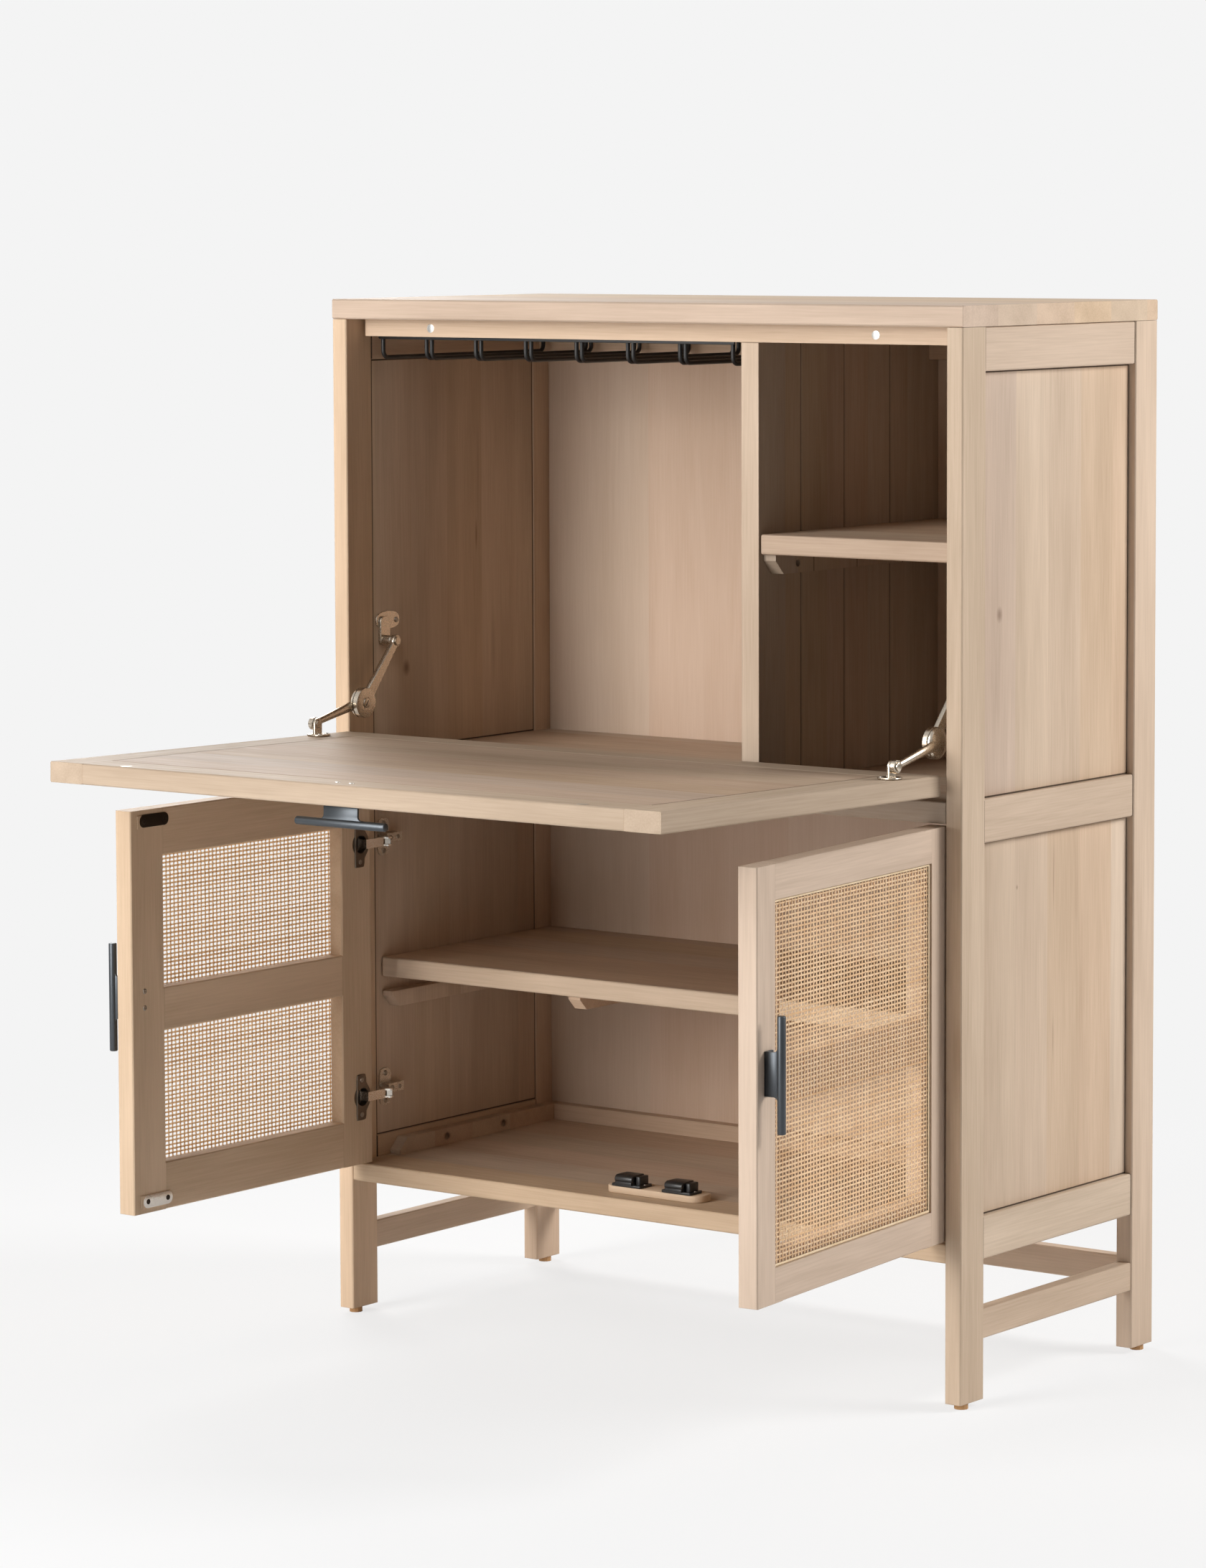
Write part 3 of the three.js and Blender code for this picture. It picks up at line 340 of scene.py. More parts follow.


# The boards inside. Floor, middle shelf and loose shelves run across in glued-up staves, each one
# given a lower tone, which is painted shade inside the bays. The strips at the floor's sides have deep
# screw pockets, and their dark insides are painted shade on the floor board. The upright between the
# upper compartments is made of tongued boards, with painted shade on its faces behind the front edge.
# Painted shade: the pockets' dark insides are dark ellipsoids painted on the floor board.
pocket_painted_shade = [((x, y, 224), (6, 10, 6.5), 0.9) for x in (-467.7, 467.7) for y in (186, 314)]
# Painted shade: each board's tone below 1 darkens it where it lies inside the bays.
shelf_painted_shade = {"floor_board": 0.9, "mid_shelf": 0.74, "right_shelf": 0.84, "lower_shelf": 0.98}
for number, (shelf, tone) in enumerate(shelf_painted_shade.items()):
    dark = pocket_painted_shade if shelf == "floor_board" else ()
    dress(shelf, plank(shelf + "_wood", "X", 80 + number, spots=dark, stave=(0, 85), tone=tone))
upright, tree, here = material("divider_wood")
colour, rough, height = wood_grain(tree, in_grain(tree, here, "Z"), 90, stave=(1, 95))
divider_front, divider_rear = 30.0, cabinet_box("divider")[1][1]
front_face = (divider_front + 1) / 1000 + corner_place[1]
depth = add(tree, "SeparateXYZ", {0: here})[1]
# Painted shade: the divider's faces behind its front edge are darkened to 0.62 of their tone, while the front edge
# stays at 1.03.
painted_shade_mask = add(tree, "Math", {0: depth, 1: front_face}, operation="GREATER_THAN")[0]
level = add(tree, "MapRange", {"Value": painted_shade_mask, "To Min": 1.03, "To Max": 0.62})[0]
toned = add(tree, "HueSaturation", {"Value": level, "Color": colour})[0]
grooves = [(1, divider_front + (divider_rear - divider_front) * share + corner_place[1] * 1000)
           for share in (0.229, 0.467, 0.724)]
seal(tree, score(tree, toned, here, grooves, 0.8, 0.7), rough, height)
dress("divider", upright)


# The side panels. Upright staves of solid wood, glued edge to edge and sanded flush, stand in
# grooves of the legs and rails. The bearers of the loose shelves are glued to their insides.
def walls(start, ahead, around):
    """Four-sided faces between closed rings: from each ring that begins at start to the one at ahead."""
    one = np.arange(around)
    two = (one + 1) % around
    return np.stack([start + one, start + two, ahead + two, ahead + one], -1).reshape(-1, 4).tolist()


def loft(rings):
    """Rings of equal size joined in order; one flat face closes each end."""
    rings = np.asarray(rings, float)
    count, around = rings.shape[:2]
    start = np.arange(count - 1)[:, None] * around
    ends = [list(range(around))[::-1], list(range((count - 1) * around, count * around))]
    return rings.reshape(-1, 3), walls(start, start + around, around) + ends


def outline_box(u, v, corner, steps=4):
    """A rectangle from u to u and v to v whose corners are quarter circles, as (n, 2) points."""
    angle = np.radians(np.linspace(0, 90, steps + 1))
    arms = []
    for turn, (cu, cv) in enumerate(((u[1] - corner, v[1] - corner), (u[0] + corner, v[1] - corner),
                                     (u[0] + corner, v[0] + corner), (u[1] - corner, v[0] + corner))):
        bend = angle + turn * np.pi / 2
        arms.append(np.stack([cu + corner * np.cos(bend), cv + corner * np.sin(bend)], -1))
    return np.concatenate(arms)


def inset(outline, by):
    """Each corner of a closed outline moved inwards along the mean of its two edges' normals."""
    ahead = np.roll(outline, -1, 0) - outline
    ahead = ahead / np.maximum(np.linalg.norm(ahead, axis=1, keepdims=True), 1e-9)
    normal = np.stack([-ahead[:, 1], ahead[:, 0]], -1)
    mean = normal + np.roll(normal, 1, 0)
    mean /= np.maximum(np.linalg.norm(mean, axis=1, keepdims=True), 1e-9)
    return outline + mean * by


def plate(outline, span, ease, lift):
    """An outline carried from one height to another with eased rims; lift turns (u, v, w) to (x, y, z)."""
    low, high = span
    layers = [(low, ease), (low + ease * 0.35, ease * 0.3), (low + ease, 0), (high - ease, 0),
              (high - ease * 0.35, ease * 0.3), (high, ease)]
    rings = [np.concatenate([inset(outline, by), np.full((len(outline), 1), at)], 1) for at, by in layers]
    return loft(lift(np.stack(rings)))


def axes(order):
    """A lift that puts u, v and w on the named axes."""
    index = [order.index(letter) for letter in "xyz"]
    return lambda points: points[..., index]


# How each body's pieces swing from where they are measured to where they stand.
swings = {}


def build(name, parts, finish, body, stands_for=(), smooth=40, sign=1, tone=None):
    """Joins parts, in millimetres of the cabinet, into one piece that rides on a body; sign -1 mirrors it."""
    points, faces, start = [], [], 0
    for some, skin in parts:
        points.append(some)
        faces += [[start + corner for corner in face] for face in skin]
        start += len(some)
    points = np.concatenate(points) * (sign, 1, 1)
    if body in swings:
        points = swings[body](points)
    mesh = bpy.data.meshes.new(name)
    mesh.from_pydata(place(points).tolist(), [], faces)
    shell = bmesh.new()
    shell.from_mesh(mesh)
    bmesh.ops.recalc_face_normals(shell, faces=shell.faces)
    shell.to_mesh(mesh)
    shell.free()
    mesh.shade_smooth()
    mesh.set_sharp_from_angle(angle=math.radians(smooth))
    if tone is not None:
        mesh.attributes.new("tone", "FLOAT", "POINT").data.foreach_set("value", tone)
    mesh.materials.append(finish)
    piece = bpy.data.objects.new(name, mesh)
    bpy.context.scene.collection.objects.link(piece)
    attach(piece, body)
    if stands_for:
        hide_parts(*stands_for)


side_sign = {"left": -1, "right": 1}
panel_front, panel_rear, panel_inner, panel_outer, post_inner = 54.3, 413.7, 487.5, 499.5, 485.7
bearer_back = 430.0
upper_bearer = {"wide": 20, "high": 25.7, "front": 40, "nose": 8}
lower_bearer = {"wide": 18, "high": 21.7, "front": 68, "nose": 6}


def bearer(top, wide, high, front, nose):
    """A strip on the panel whose front end is cut away at 45 degrees below its nose, and its web."""
    slope, back = high - nose, bearer_back
    profile = np.array([(front, top), (front, top - nose), (front + slope, top - high),
                        (back, top - high), (back, top)])
    web = outline_box((max(panel_front, front + slope), panel_rear), (top - high, top), 0.3, 1)
    return [plate(profile, (post_inner - wide, post_inner), 0.4, axes("yzx")),
            plate(web, (post_inner - 0.5, panel_inner + 0.5), 0.2, axes("yzx"))]


# Knots and dark streaks at their own places: centre, reach and depth.
marks = {"left_upper": [((-487.5, 126.9, 885.9), (60, 9, 13), 0.7), ((-487.5, 284, 1062), (60, 3, 26), 0.5),
                        ((-487.5, 288.5, 1150), (60, 4, 90), 0.22), ((-487.5, 321, 905), (60, 7, 75), 0.25)],
         "right_upper": [((499.5, 102.6, 1004.8), (60, 8, 12), 0.55)],
         "right_lower": [((499.5, 145.6, 652.7), (60, 3, 4), 0.5), ((499.5, 233.7, 660), (60, 1.3, 62), 0.5),
                         ((499.5, 233.1, 448), (60, 1.3, 40), 0.5)]}
for side, sign in side_sign.items():
    for number, level in enumerate(("upper", "lower")):
        node = f"{side}_{level}_panel"
        low, high = cabinet_box(node)[2]
        rims = [(1, panel_front), (1, panel_rear), (2, low), (2, high)]
        finish = plank(node + "_wood", "Z", side_seed[side] + 7 + number, rims, marks.get(f"{side}_{level}", ()), 1.7,
                       stave=(1, 78))
        outline = outline_box((panel_front, panel_rear), (low, high), 0.3, 1)
        parts = [plate(outline, (panel_inner, panel_outer), 0.3, axes("yzx"))]
        shelf, size = ("lower_shelf", lower_bearer) if level == "lower" else ("right_shelf", upper_bearer)
        if node != "left_upper_panel":
            parts += bearer(cabinet_box(shelf)[2][0] - 0.3, **size)
        build(node + "_boards", parts, finish, "cabinet", [node], sign=sign)


# The magnets that hold the flap: bright steel-cased discs let into the rail under the top. The
# plain steel strike discs that meet them come with the flap.
def circle_on(axis, around):
    """An axis as a unit vector, equal angles round it, and the unit circle square to it at those angles."""
    axis = np.asarray(axis, float) / np.linalg.norm(axis)
    guide = np.array((0.0, 0.0, 1.0)) if abs(axis[2]) < 0.9 else np.array((1.0, 0.0, 0.0))
    one = np.cross(guide, axis)
    one /= np.linalg.norm(one)
    angle = np.linspace(0, 2 * np.pi, around, endpoint=False)
    return axis, angle, np.cos(angle)[:, None] * one + np.sin(angle)[:, None] * np.cross(axis, one)


def turned_piece(centre, axis, profile, around=32):
    """A lathe shape: at each (height, radius) of the profile stands a circle square to the axis."""
    axis, _, circle = circle_on(axis, around)
    height, radius = np.asarray(profile, float).T[..., None, None]
    return loft(np.asarray(centre) + height * axis + radius * circle)


def screw_head(centre, axis, radius, height):
    """A low domed screw head with a cross recess: a lathe shape with a four-armed pit."""
    axis, angle, circle = circle_on(axis, 24)
    layers = np.array([(0, 1, 0), (0.55, 0.96, 0), (0.9, 0.72, 0), (1, 0.5, 0), (0.5, 0.1, 0.32)])
    at, share, reach = layers.T[..., None]
    wide = radius * (share + reach * np.cos(angle * 2) ** 8)
    return loft(np.asarray(centre) + (height * at)[..., None] * axis + wide[..., None] * circle)


def pair(middle, half):
    """Two places an equal distance either side of a middle."""
    return middle - half, middle + half


def metal(name, colour, rough, spread, grit_mm, metallic=1.0):
    """A metal, or its lacquer, whose roughness varies with a fine grit of a given size."""
    made, tree, here = material(name)
    mapped = add(tree, "Mapping", {"Vector": here, "Scale": (1000 / grit_mm,) * 3})[0]
    grit = add(tree, "TexNoise", {"Vector": mapped, "Scale": 1.0, "Detail": 2.0})[0]
    varied = add(tree, "MapRange", {"Value": grit, "From Min": 0.3, "From Max": 0.7,
                                    "To Min": rough - spread, "To Max": rough + spread})[0]
    felt = add(tree, "Bump", {"Strength": 0.06, "Distance": 0.0003, "Height": grit})[0]
    sockets = {"Base Color": linear(colour), "Metallic": metallic, "Roughness": varied, "Normal": felt}
    add(tree, "OutputMaterial", {"Surface": add(tree, "BsdfPrincipled", sockets)[0]})
    return made


magnet_steel = metal("nickel_plated_magnet", "#E4E2DD", 0.3, 0.06, 0.8)
rail_front, rail_middle, magnet_x = 27.5, 1358.1, 361
disc_profile = [(-0.2, 5.9), (0.2, 5.9), (0.3, 5.6), (0.3, 0.4)]
parts = [turned_piece((x, rail_front, rail_middle), (0, -1, 0), disc_profile) for x in pair(0, magnet_x)]
build("flap_magnets", parts, magnet_steel, "cabinet", smooth=30)


# Bodies that stand open. A door or the flap is measured as it lies closed, about its own hinge
# axis, and then swung out to where it stands.
door_axis, door_open = (478.4, 5.0), {"left": 90.53, "right": 95.42}
flap_axis, flap_open = (-6.5, 775.6), 88.94


def swing_door(side):
    """Mirrors a closed door's points for its side and turns them about the upright hinge axis."""
    sign = side_sign[side]
    angle = math.radians(sign * door_open[side])

    def move(points):
        x, y = points[:, 0] * sign, points[:, 1]
        return np.stack([sign * door_axis[0] + x * math.cos(angle) - y * math.sin(angle),
                         door_axis[1] + x * math.sin(angle) + y * math.cos(angle), points[:, 2]], -1)
    return move


def swing_flap(points):
    """Turns the closed flap's points about its level hinge axis, down to the front."""
    angle = math.radians(flap_open)
    y, z = points[:, 1], points[:, 2]
    return np.stack([points[:, 0], flap_axis[0] + y * math.cos(angle) - z * math.sin(angle),
                     flap_axis[1] + y * math.sin(angle) + z * math.cos(angle)], -1)


swings.update({"left_door": swing_door("left"), "right_door": swing_door("right"), "flap": swing_flap})


# The flap. A glued frame of stiles and rails round a flush panel of staves, with a fine groove at
# the joint, all in the same sealed wood.
flap_inner, flap_outer = 33.2, 6.5
flap_low, flap_high, flap_half, flap_member = 1.4, 591.4, 483.0, 55.0
flap_swing = ((0, *flap_axis), (1, 0, 0), flap_open)
flap_gloss = 0.08


def swung_point(tree, here, pivot, axis, degrees):
    """The point in a swung body's own closed axes: moved to its pivot, then turned back."""
    moved = add(tree, "VectorMath", {0: here, 1: tuple(place(pivot))}, operation="SUBTRACT")[0]
    sockets = {"Vector": moved, "Axis": axis, "Angle": -math.radians(degrees)}
    return add(tree, "VectorRotate", sockets, rotation_type="AXIS_ANGLE")[0]


def framed_wood(name, swing, seams, split, seed, middle=0.0, tone=1.0, gloss=0.22):
    """Wood whose grain runs up the stiles and across the rails, with a thin dark joint line.

    seams are the distances in metres from the middle of the frame to its joints, in the layer
    in front of the depth split and in the layer behind it.
    """
    made, tree, here = material(name)
    point = swung_point(tree, here, *swing)
    parts = add(tree, "SeparateXYZ", {0: point})
    behind = add(tree, "Math", {0: parts[1], 1: split}, operation="GREATER_THAN")[0]
    seam = add(tree, "Math", {0: behind, 1: seams[1] - seams[0], 2: seams[0]}, operation="MULTIPLY_ADD")[0]
    out = apart(tree, parts[0], middle)
    rail = add(tree, "Math", {0: out, 1: seam}, operation="LESS_THAN")[0]
    grain = add(tree, "Mix", {0: rail, 4: in_grain(tree, point, "Z"), 5: in_grain(tree, point, "X")},
                data_type="VECTOR")[1]
    colour, rough, height = wood_grain(tree, grain, seed, tone=tone)
    # The joint line is drawn 0.6 to 1.4 mm wide, wider than the real hairline, so that it shows.
    line = add(tree, "MapRange", {"Value": apart(tree, out, seam), "From Min": 0.0007, "From Max": 0.0003,
                                  "To Max": 0.22})[0]
    marked = add(tree, "Mix", {0: line, 6: colour, 7: linear("#8A6B50")}, data_type="RGBA")[2]
    seal(tree, marked, rough, height, gloss)
    return made


panel_edge, panel_low, panel_high = flap_half - flap_member, flap_low + flap_member, flap_high - flap_member
# Painted shade: the flap's frame and panel are darkened to 0.84 and 0.79 of their tone.
dress("flap_frame", framed_wood("flap_frame_wood", flap_swing, (panel_edge / 1000,) * 2, 0.0, 101, tone=0.84,
                                gloss=flap_gloss))
panel_wood, tree, here = material("flap_panel_wood")
point = swung_point(tree, here, *flap_swing)
colour, rough, height = wood_grain(tree, in_grain(tree, point, "X"), 107, stave=(1, 82), tone=0.79)
borders = [(0, -panel_edge, 1), (0, panel_edge, -1), (2, panel_low, 1), (2, panel_high, -1)]
bead_in = 4
colour = score(tree, colour, point, [(axis, at) for axis, at, _ in borders], 0.9)
bead = [(axis, at + inwards * bead_in) for axis, at, inwards in borders]
seal(tree, score(tree, colour, point, bead, 0.3, 0.3), rough, height, flap_gloss)
dress("flap_panel", panel_wood)

strike_level = rail_middle - flap_axis[1]
strike_steel = metal("satin_steel_strike", "#B4AA9C", 0.45, 0.06, 0.8)
strike_profile = [(-0.2, 7.7), (0.2, 7.9), (0.28, 7.7), (0.3, 7.0), (0.3, 0.5)]
parts = [turned_piece((x, flap_inner, strike_level), (0, 1, 0), strike_profile) for x in pair(0, magnet_x)]
build("flap_strike_discs", parts, strike_steel, "flap", smooth=30)


# The pulls. A round bar welded to a plate that stands edge-on and is bent over a foot, screwed
# on from behind, in zinc-plated steel with a satin gunmetal lacquer.
gunmetal = metal("satin_gunmetal_lacquer", "#4C5054", 0.38, 0.05, 0.7, metallic=0.8)
screw_steel = metal("zinc_plated_screw", "#A8A29A", 0.35, 0.06, 0.6)
bar_half, bar_radius, bar_reach, plate_half, plate_thick = 71.0, 5.25, 23.0, 27.0, 3.0
foot_reach, foot_thick, fillet = 17.5, 3.0, 5.0


def pull(turned=False):
    """Bar, edge-on plate with filleted flares, and foot, about the bar's middle, in front of y = 0.

    A turned one has its bar laid across instead of upright.
    """
    ends = np.array([(bar_half - 1.2, bar_radius), (bar_half - 0.5, 4.95), (bar_half, 4.2)])
    bar = np.concatenate([ends[::-1] * (-1, 1), [(0, bar_radius)], ends])
    bend = fillet + bar_radius - bar_reach
    curl = np.radians(np.linspace(90, 180, 7))
    low_arc = np.stack([bend + fillet * np.cos(curl), -plate_half - fillet + fillet * np.sin(curl)], -1)
    low_side = np.concatenate([[(-0.3, -plate_half)], low_arc, [(-bar_reach, -plate_half - fillet)]])
    edge = np.concatenate([low_side, low_side[::-1] * (1, -1)])
    foot = outline_box((-plate_thick / 2, foot_reach - plate_thick / 2), (-plate_half, plate_half), 1.2, 3)
    parts = [turned_piece((0, -bar_reach, 0), (0, 0, 1), bar, 40),
             plate(edge[::-1], (-plate_thick / 2, plate_thick / 2), 0.3, axes("yzx")),
             plate(foot, (-foot_thick - 0.3, -0.3), 0.4, axes("xzy"))]
    return [(points[:, [2, 1, 0]] * (1, 1, -1), faces) for points, faces in parts] if turned else parts


def shifted(parts, by):
    """The same parts, each point moved by one step."""
    return [(points + np.asarray(by, float), faces) for points, faces in parts]


door_bottom, door_top, door_face, door_inside = 215.3, 744.0, -5.0, 21.7
door_free, door_edge = -476.9, 4.6
pull_edge, pull_rise, flap_pull_x, pull_screw, pull_gap = 17.5, 16.5, -16, (3.6, 0.9), 11
pull_x, pull_z = door_free + pull_edge, (door_bottom + door_top) / 2 + pull_rise
for side in side_sign:
    build(side + "_door_pull", shifted(pull(), (pull_x, door_face, pull_z)), gunmetal, side + "_door",
          [side + "_door_handle"])
    heads = [screw_head((pull_x + 6.5, door_inside, z), (0, 1, 0), *pull_screw) for z in pair(pull_z, pull_gap)]
    build(side + "_door_pull_screws", heads, screw_steel, side + "_door")
build("flap_pull", shifted(pull(True), (flap_pull_x, flap_outer, flap_high - pull_edge)), gunmetal, "flap",
      ["flap_handle"])
heads = [screw_head((x, flap_inner, flap_high - pull_edge - 6.5), (0, 1, 0), *pull_screw)
         for x in pair(flap_pull_x, pull_gap)]
build("flap_pull_screws", heads, screw_steel, "flap")


# The cane doors. Stiles, rails and a middle rail of solid wood, jointed and glued, with a rebate
# round the front for the cane and bored for the hinge cups.
door_middle, door_half = (door_free + door_edge) / 2000, (door_edge - door_free) / 2000
outer_member, inner_member, outer_depth = 43.0, 62.0, 3.5
seams = (door_half - outer_member / 1000, door_half - inner_member / 1000)
split = (door_face + outer_depth + 0.2) / 1000
# Painted light: the left door's wood is lightened to 1.08 of the right door's.
for side, seed, tone in (("left", 121, 1.08), ("right", 128, 1.0)):
    sign = side_sign[side]
    swing = ((sign * door_axis[0], door_axis[1], 0), (0, 0, 1), sign * door_open[side])
    finish = framed_wood(side + "_door_wood", swing, seams, split, seed, sign * door_middle, tone)
    dress(side + "_door_frame", finish)


# The strike plates. Each door carries two steel plates with rounded ends, screwed inside its free
# corners where the catches meet it: the upper one dark, the lower one nickel plated.
dark_steel = metal("dark_steel_finish", "#3A322C", 0.42, 0.06, 0.8)
strike_span, strike_half, strike_thick, strike_screw = (-461.0, -405.0), 8.5, 1.6, (3.6, 0.9)
for side in side_sign:
    for name, level, finish, slot in (("upper", 729.5, dark_steel, "gunmetal"),
                                      ("lower", 230.5, magnet_steel, "nickel")):
        outline = outline_box(strike_span, pair(level, strike_half), strike_half - 0.4, 8)
        skin = plate(outline, (door_inside - 0.1, door_inside + strike_thick), 0.4, axes("xzy"))
        heads = [screw_head((x, door_inside + strike_thick - 0.1, level), (0, 1, 0), *strike_screw)
                 for x in (strike_span[0] + 9, strike_span[1] - 9)]
        build(f"{side}_door_{name}_strike", [skin], finish, side + "_door")
        build(f"{side}_door_{name}_strike_screws", heads, dark_steel, side + "_door")


# The cane. Split rattan peel woven one over, one under into an open square mesh, 5.5 mm between
# the level strands and 7.6 mm between the upright ones. It is glossy on its outer skin, lets some
# light through, and its colour changes from strand to strand and along each strand.
peel, tree, here = material("split_rattan_peel")
strand = add(tree, "Attribute", {}, attribute_name="tone")["Fac"]
patch = add(tree, "TexNoise", {"Vector": here, "Scale": 34.0, "Detail": 3.0})[0]
mixed = add(tree, "Math", {0: patch, 1: 0.7, 2: strand}, operation="MULTIPLY_ADD")[0]
share = add(tree, "MapRange", {"Value": mixed, "From Min": 0.4, "From Max": 1.45})[0]
ramp = add(tree, "Mix", {0: share, 6: linear("#FFEBCB"), 7: linear("#DDB582")}, data_type="RGBA")[2]
fibre = add(tree, "TexNoise", {"Vector": here, "Scale": 900.0, "Detail": 1.0})[0]
felt = add(tree, "Bump", {"Strength": 0.15, "Distance": 0.0003, "Height": fibre})[0]
skin = add(tree, "BsdfPrincipled", {"Base Color": ramp, "Roughness": 0.45, "Normal": felt})[0]
through = add(tree, "BsdfTranslucent", {"Color": linear("#FFE8C9")})[0]
add(tree, "OutputMaterial", {"Surface": add(tree, "MixShader", {0: 0.42, 1: skin, 2: through})[0]})
level_pitch, upright_pitch = 5.5, 7.6
level_half, upright_half, strand_thick, strand_swing = 1.25, 1.45, 0.42, 0.3
chance = np.random.default_rng(7)


def weave_strands(lines, along, pitch, half, lift, parity):
    """Split strands at each v of lines, running along u from one end to the other, and their tones.

    Strand n rises and dips as cos(pi * (u / pitch - 1/2 + n + parity)), so it goes over one
    crossing and under the next; its section is domed on top and flat beneath.
    """
    total = len(lines)
    count = int(round((along[1] - along[0]) / pitch)) * 2
    u = np.linspace(along[0], along[1], count + 1)
    number = np.arange(total)[:, None]
    height = -strand_swing * np.cos(np.pi * ((u - along[0]) / pitch - 0.5 + number + parity))
    middle = np.asarray(lines)[:, None] + chance.normal(0, 0.16, (total, 1)) + chance.normal(0, 0.05, height.shape)
    width = half * (1 + chance.normal(0, 0.07, (total, 1)))
    section = np.array([(-1, 0.4), (-0.62, -0.35), (0, -0.6), (0.62, -0.35), (1, 0.4)])
    v = middle[..., None] + width[..., None] * section[:, 0]
    w = height[..., None] + strand_thick * section[:, 1]
    points = lift(np.stack([np.broadcast_to(u[None, :, None], v.shape), v, w], -1)).reshape(-1, 3)
    around = len(section)
    first = number * (count + 1) * around
    start = first[..., None] + (np.arange(count) * around)[:, None]
    ends = np.concatenate([first, first + count * around]) + np.arange(around)
    tone = np.broadcast_to(chance.normal(0.35, 0.17, (total, 1, 1)), v.shape).reshape(-1)
    return (points, walls(start, start + around, around) + ends.tolist()), tone


tuck = 1.0
cane_low, cane_high = door_bottom + outer_member - tuck, door_top - outer_member + tuck
cane_left, cane_right = door_free + outer_member - tuck, door_edge - outer_member + tuck
rows = np.arange(cane_low + level_pitch / 2, cane_high, level_pitch)
columns = np.arange(cane_left + upright_pitch / 2, cane_right, upright_pitch)
for side in side_sign:
    level, level_tone = weave_strands(rows, (cane_left, cane_right), upright_pitch, level_half, axes("xzy"), 0)
    upright, upright_tone = weave_strands(columns, (cane_low, cane_high), level_pitch, upright_half, axes("zxy"), 1)
    build(side + "_door_cane_weave", shifted([level, upright], (0, door_face + outer_depth + 1.0, 0)), peel,
          side + "_door", [side + "_door_cane"], smooth=180,
          tone=np.concatenate([level_tone, upright_tone]))


# The reed spline. A pale rattan core pressed and glued into the groove round the cane holds its
# cut edge, and is mitred at the corners.
core = plank("rattan_core_spline", "Z", 141, light="#F2DCBE", dark="#E2C39B", knots=0.0)
spline_half, spline_proud = 1.7, 1.2
spline_in = outer_member + spline_half + 0.2
left, right = door_free + spline_in, door_edge - spline_in
low, high = door_bottom + spline_in, door_top - spline_in
corners = np.array([(left, low), (right, low), (right, high), (left, high)])
sign = np.sign(corners - corners.mean(0))
angle = np.linspace(0, np.pi, 9)
out = np.cos(angle) * spline_half
rise = door_face + outer_depth - np.sin(angle) * spline_proud
level, upwards = corners[:, :1] + sign[:, :1] * out, corners[:, 1:] + sign[:, 1:] * out
rings = np.stack([level, np.broadcast_to(rise, (4, 9)), upwards], -1)
corner = np.arange(4)[:, None] * 9
skin = walls(corner, (corner + 9) % 36, 9)
for side in side_sign:
    build(side + "_door_cane_spline", [(rings.reshape(-1, 3), skin)], core, side + "_door",
          smooth=30)


# The rack for stemmed glasses. Bright steel wire, bent and welded under two flat bars, powder
# coated black; the flat bars are screwed up under the top.
black_coat = metal("black_powder_coat", "#1D1C1C", 0.42, 0.06, 0.5, metallic=0.0)
rack_first, rack_pitch, rack_gap, rack_slots = -467.0, 85.0, 9.0, 7
wire_radius, wire_level, wire_bend = 3.0, 1317.0, 9.0
flat_front, flat_back, flat_thick, flat_low, flat_high = 52.0, 418.0, 3.0, 1342.0, 1369.4
leg_front, leg_back = flat_front + flat_thick + 1.5, flat_back - flat_thick - 1.5
bend = np.radians(np.linspace(0, 90, 7))
curve = wire_bend * np.stack([1 - np.cos(bend), 1 - np.sin(bend)], -1)
front_bend = (leg_front, wire_level) + curve
back_bend = ((leg_back, wire_level) + curve * (-1, 1))[::-1]
route = np.concatenate([[(leg_front, flat_low + 8)], front_bend, back_bend, [(leg_back, flat_low + 8)]])


def wire(x):
    """A round wire along the route in the plane of one x: a circle square to the path at each point."""
    along = np.gradient(route, axis=0)
    along /= np.linalg.norm(along, axis=1, keepdims=True)
    angle = np.linspace(0, 2 * np.pi, 14, endpoint=False)
    other = wire_radius * np.sin(angle)
    y = route[:, :1] - along[:, 1:] * other
    z = route[:, 1:] + along[:, :1] * other
    return loft(np.stack([np.broadcast_to(x + wire_radius * np.cos(angle), y.shape), y, z], -1))


starts = rack_first + rack_pitch * np.arange(rack_slots)
parts = [wire(x) for x in np.sort(np.concatenate([starts, starts + rack_pitch - rack_gap]))]
rack_last = rack_first + rack_pitch * rack_slots - rack_gap
for y in (flat_front, flat_back - flat_thick):
    section = outline_box((rack_first - 5, rack_last + 5), (flat_low, flat_high), 2.0, 3)
    parts.append(plate(section, (y, y + flat_thick), 0.4, axes("xzy")))
build("glass_rack", parts, black_coat, "cabinet", ["stemware_rack"])


# The catches. A black moulded nylon box with a sprung magnet in its mouth, two of them screwed
# to a round-ended wooden strip on the floor, and two more hidden under the middle shelf.
nylon = metal("black_moulded_nylon", "#201F1F", 0.38, 0.05, 0.9, metallic=0.0)
strip_wood = plank("catch_strip_wood", "X", 151)
catch_x, catch_front = 41.0, 29.0
strip_thick, strip_half, strip_front, strip_deep = 9.4, 78.0, 32.0, 40.0
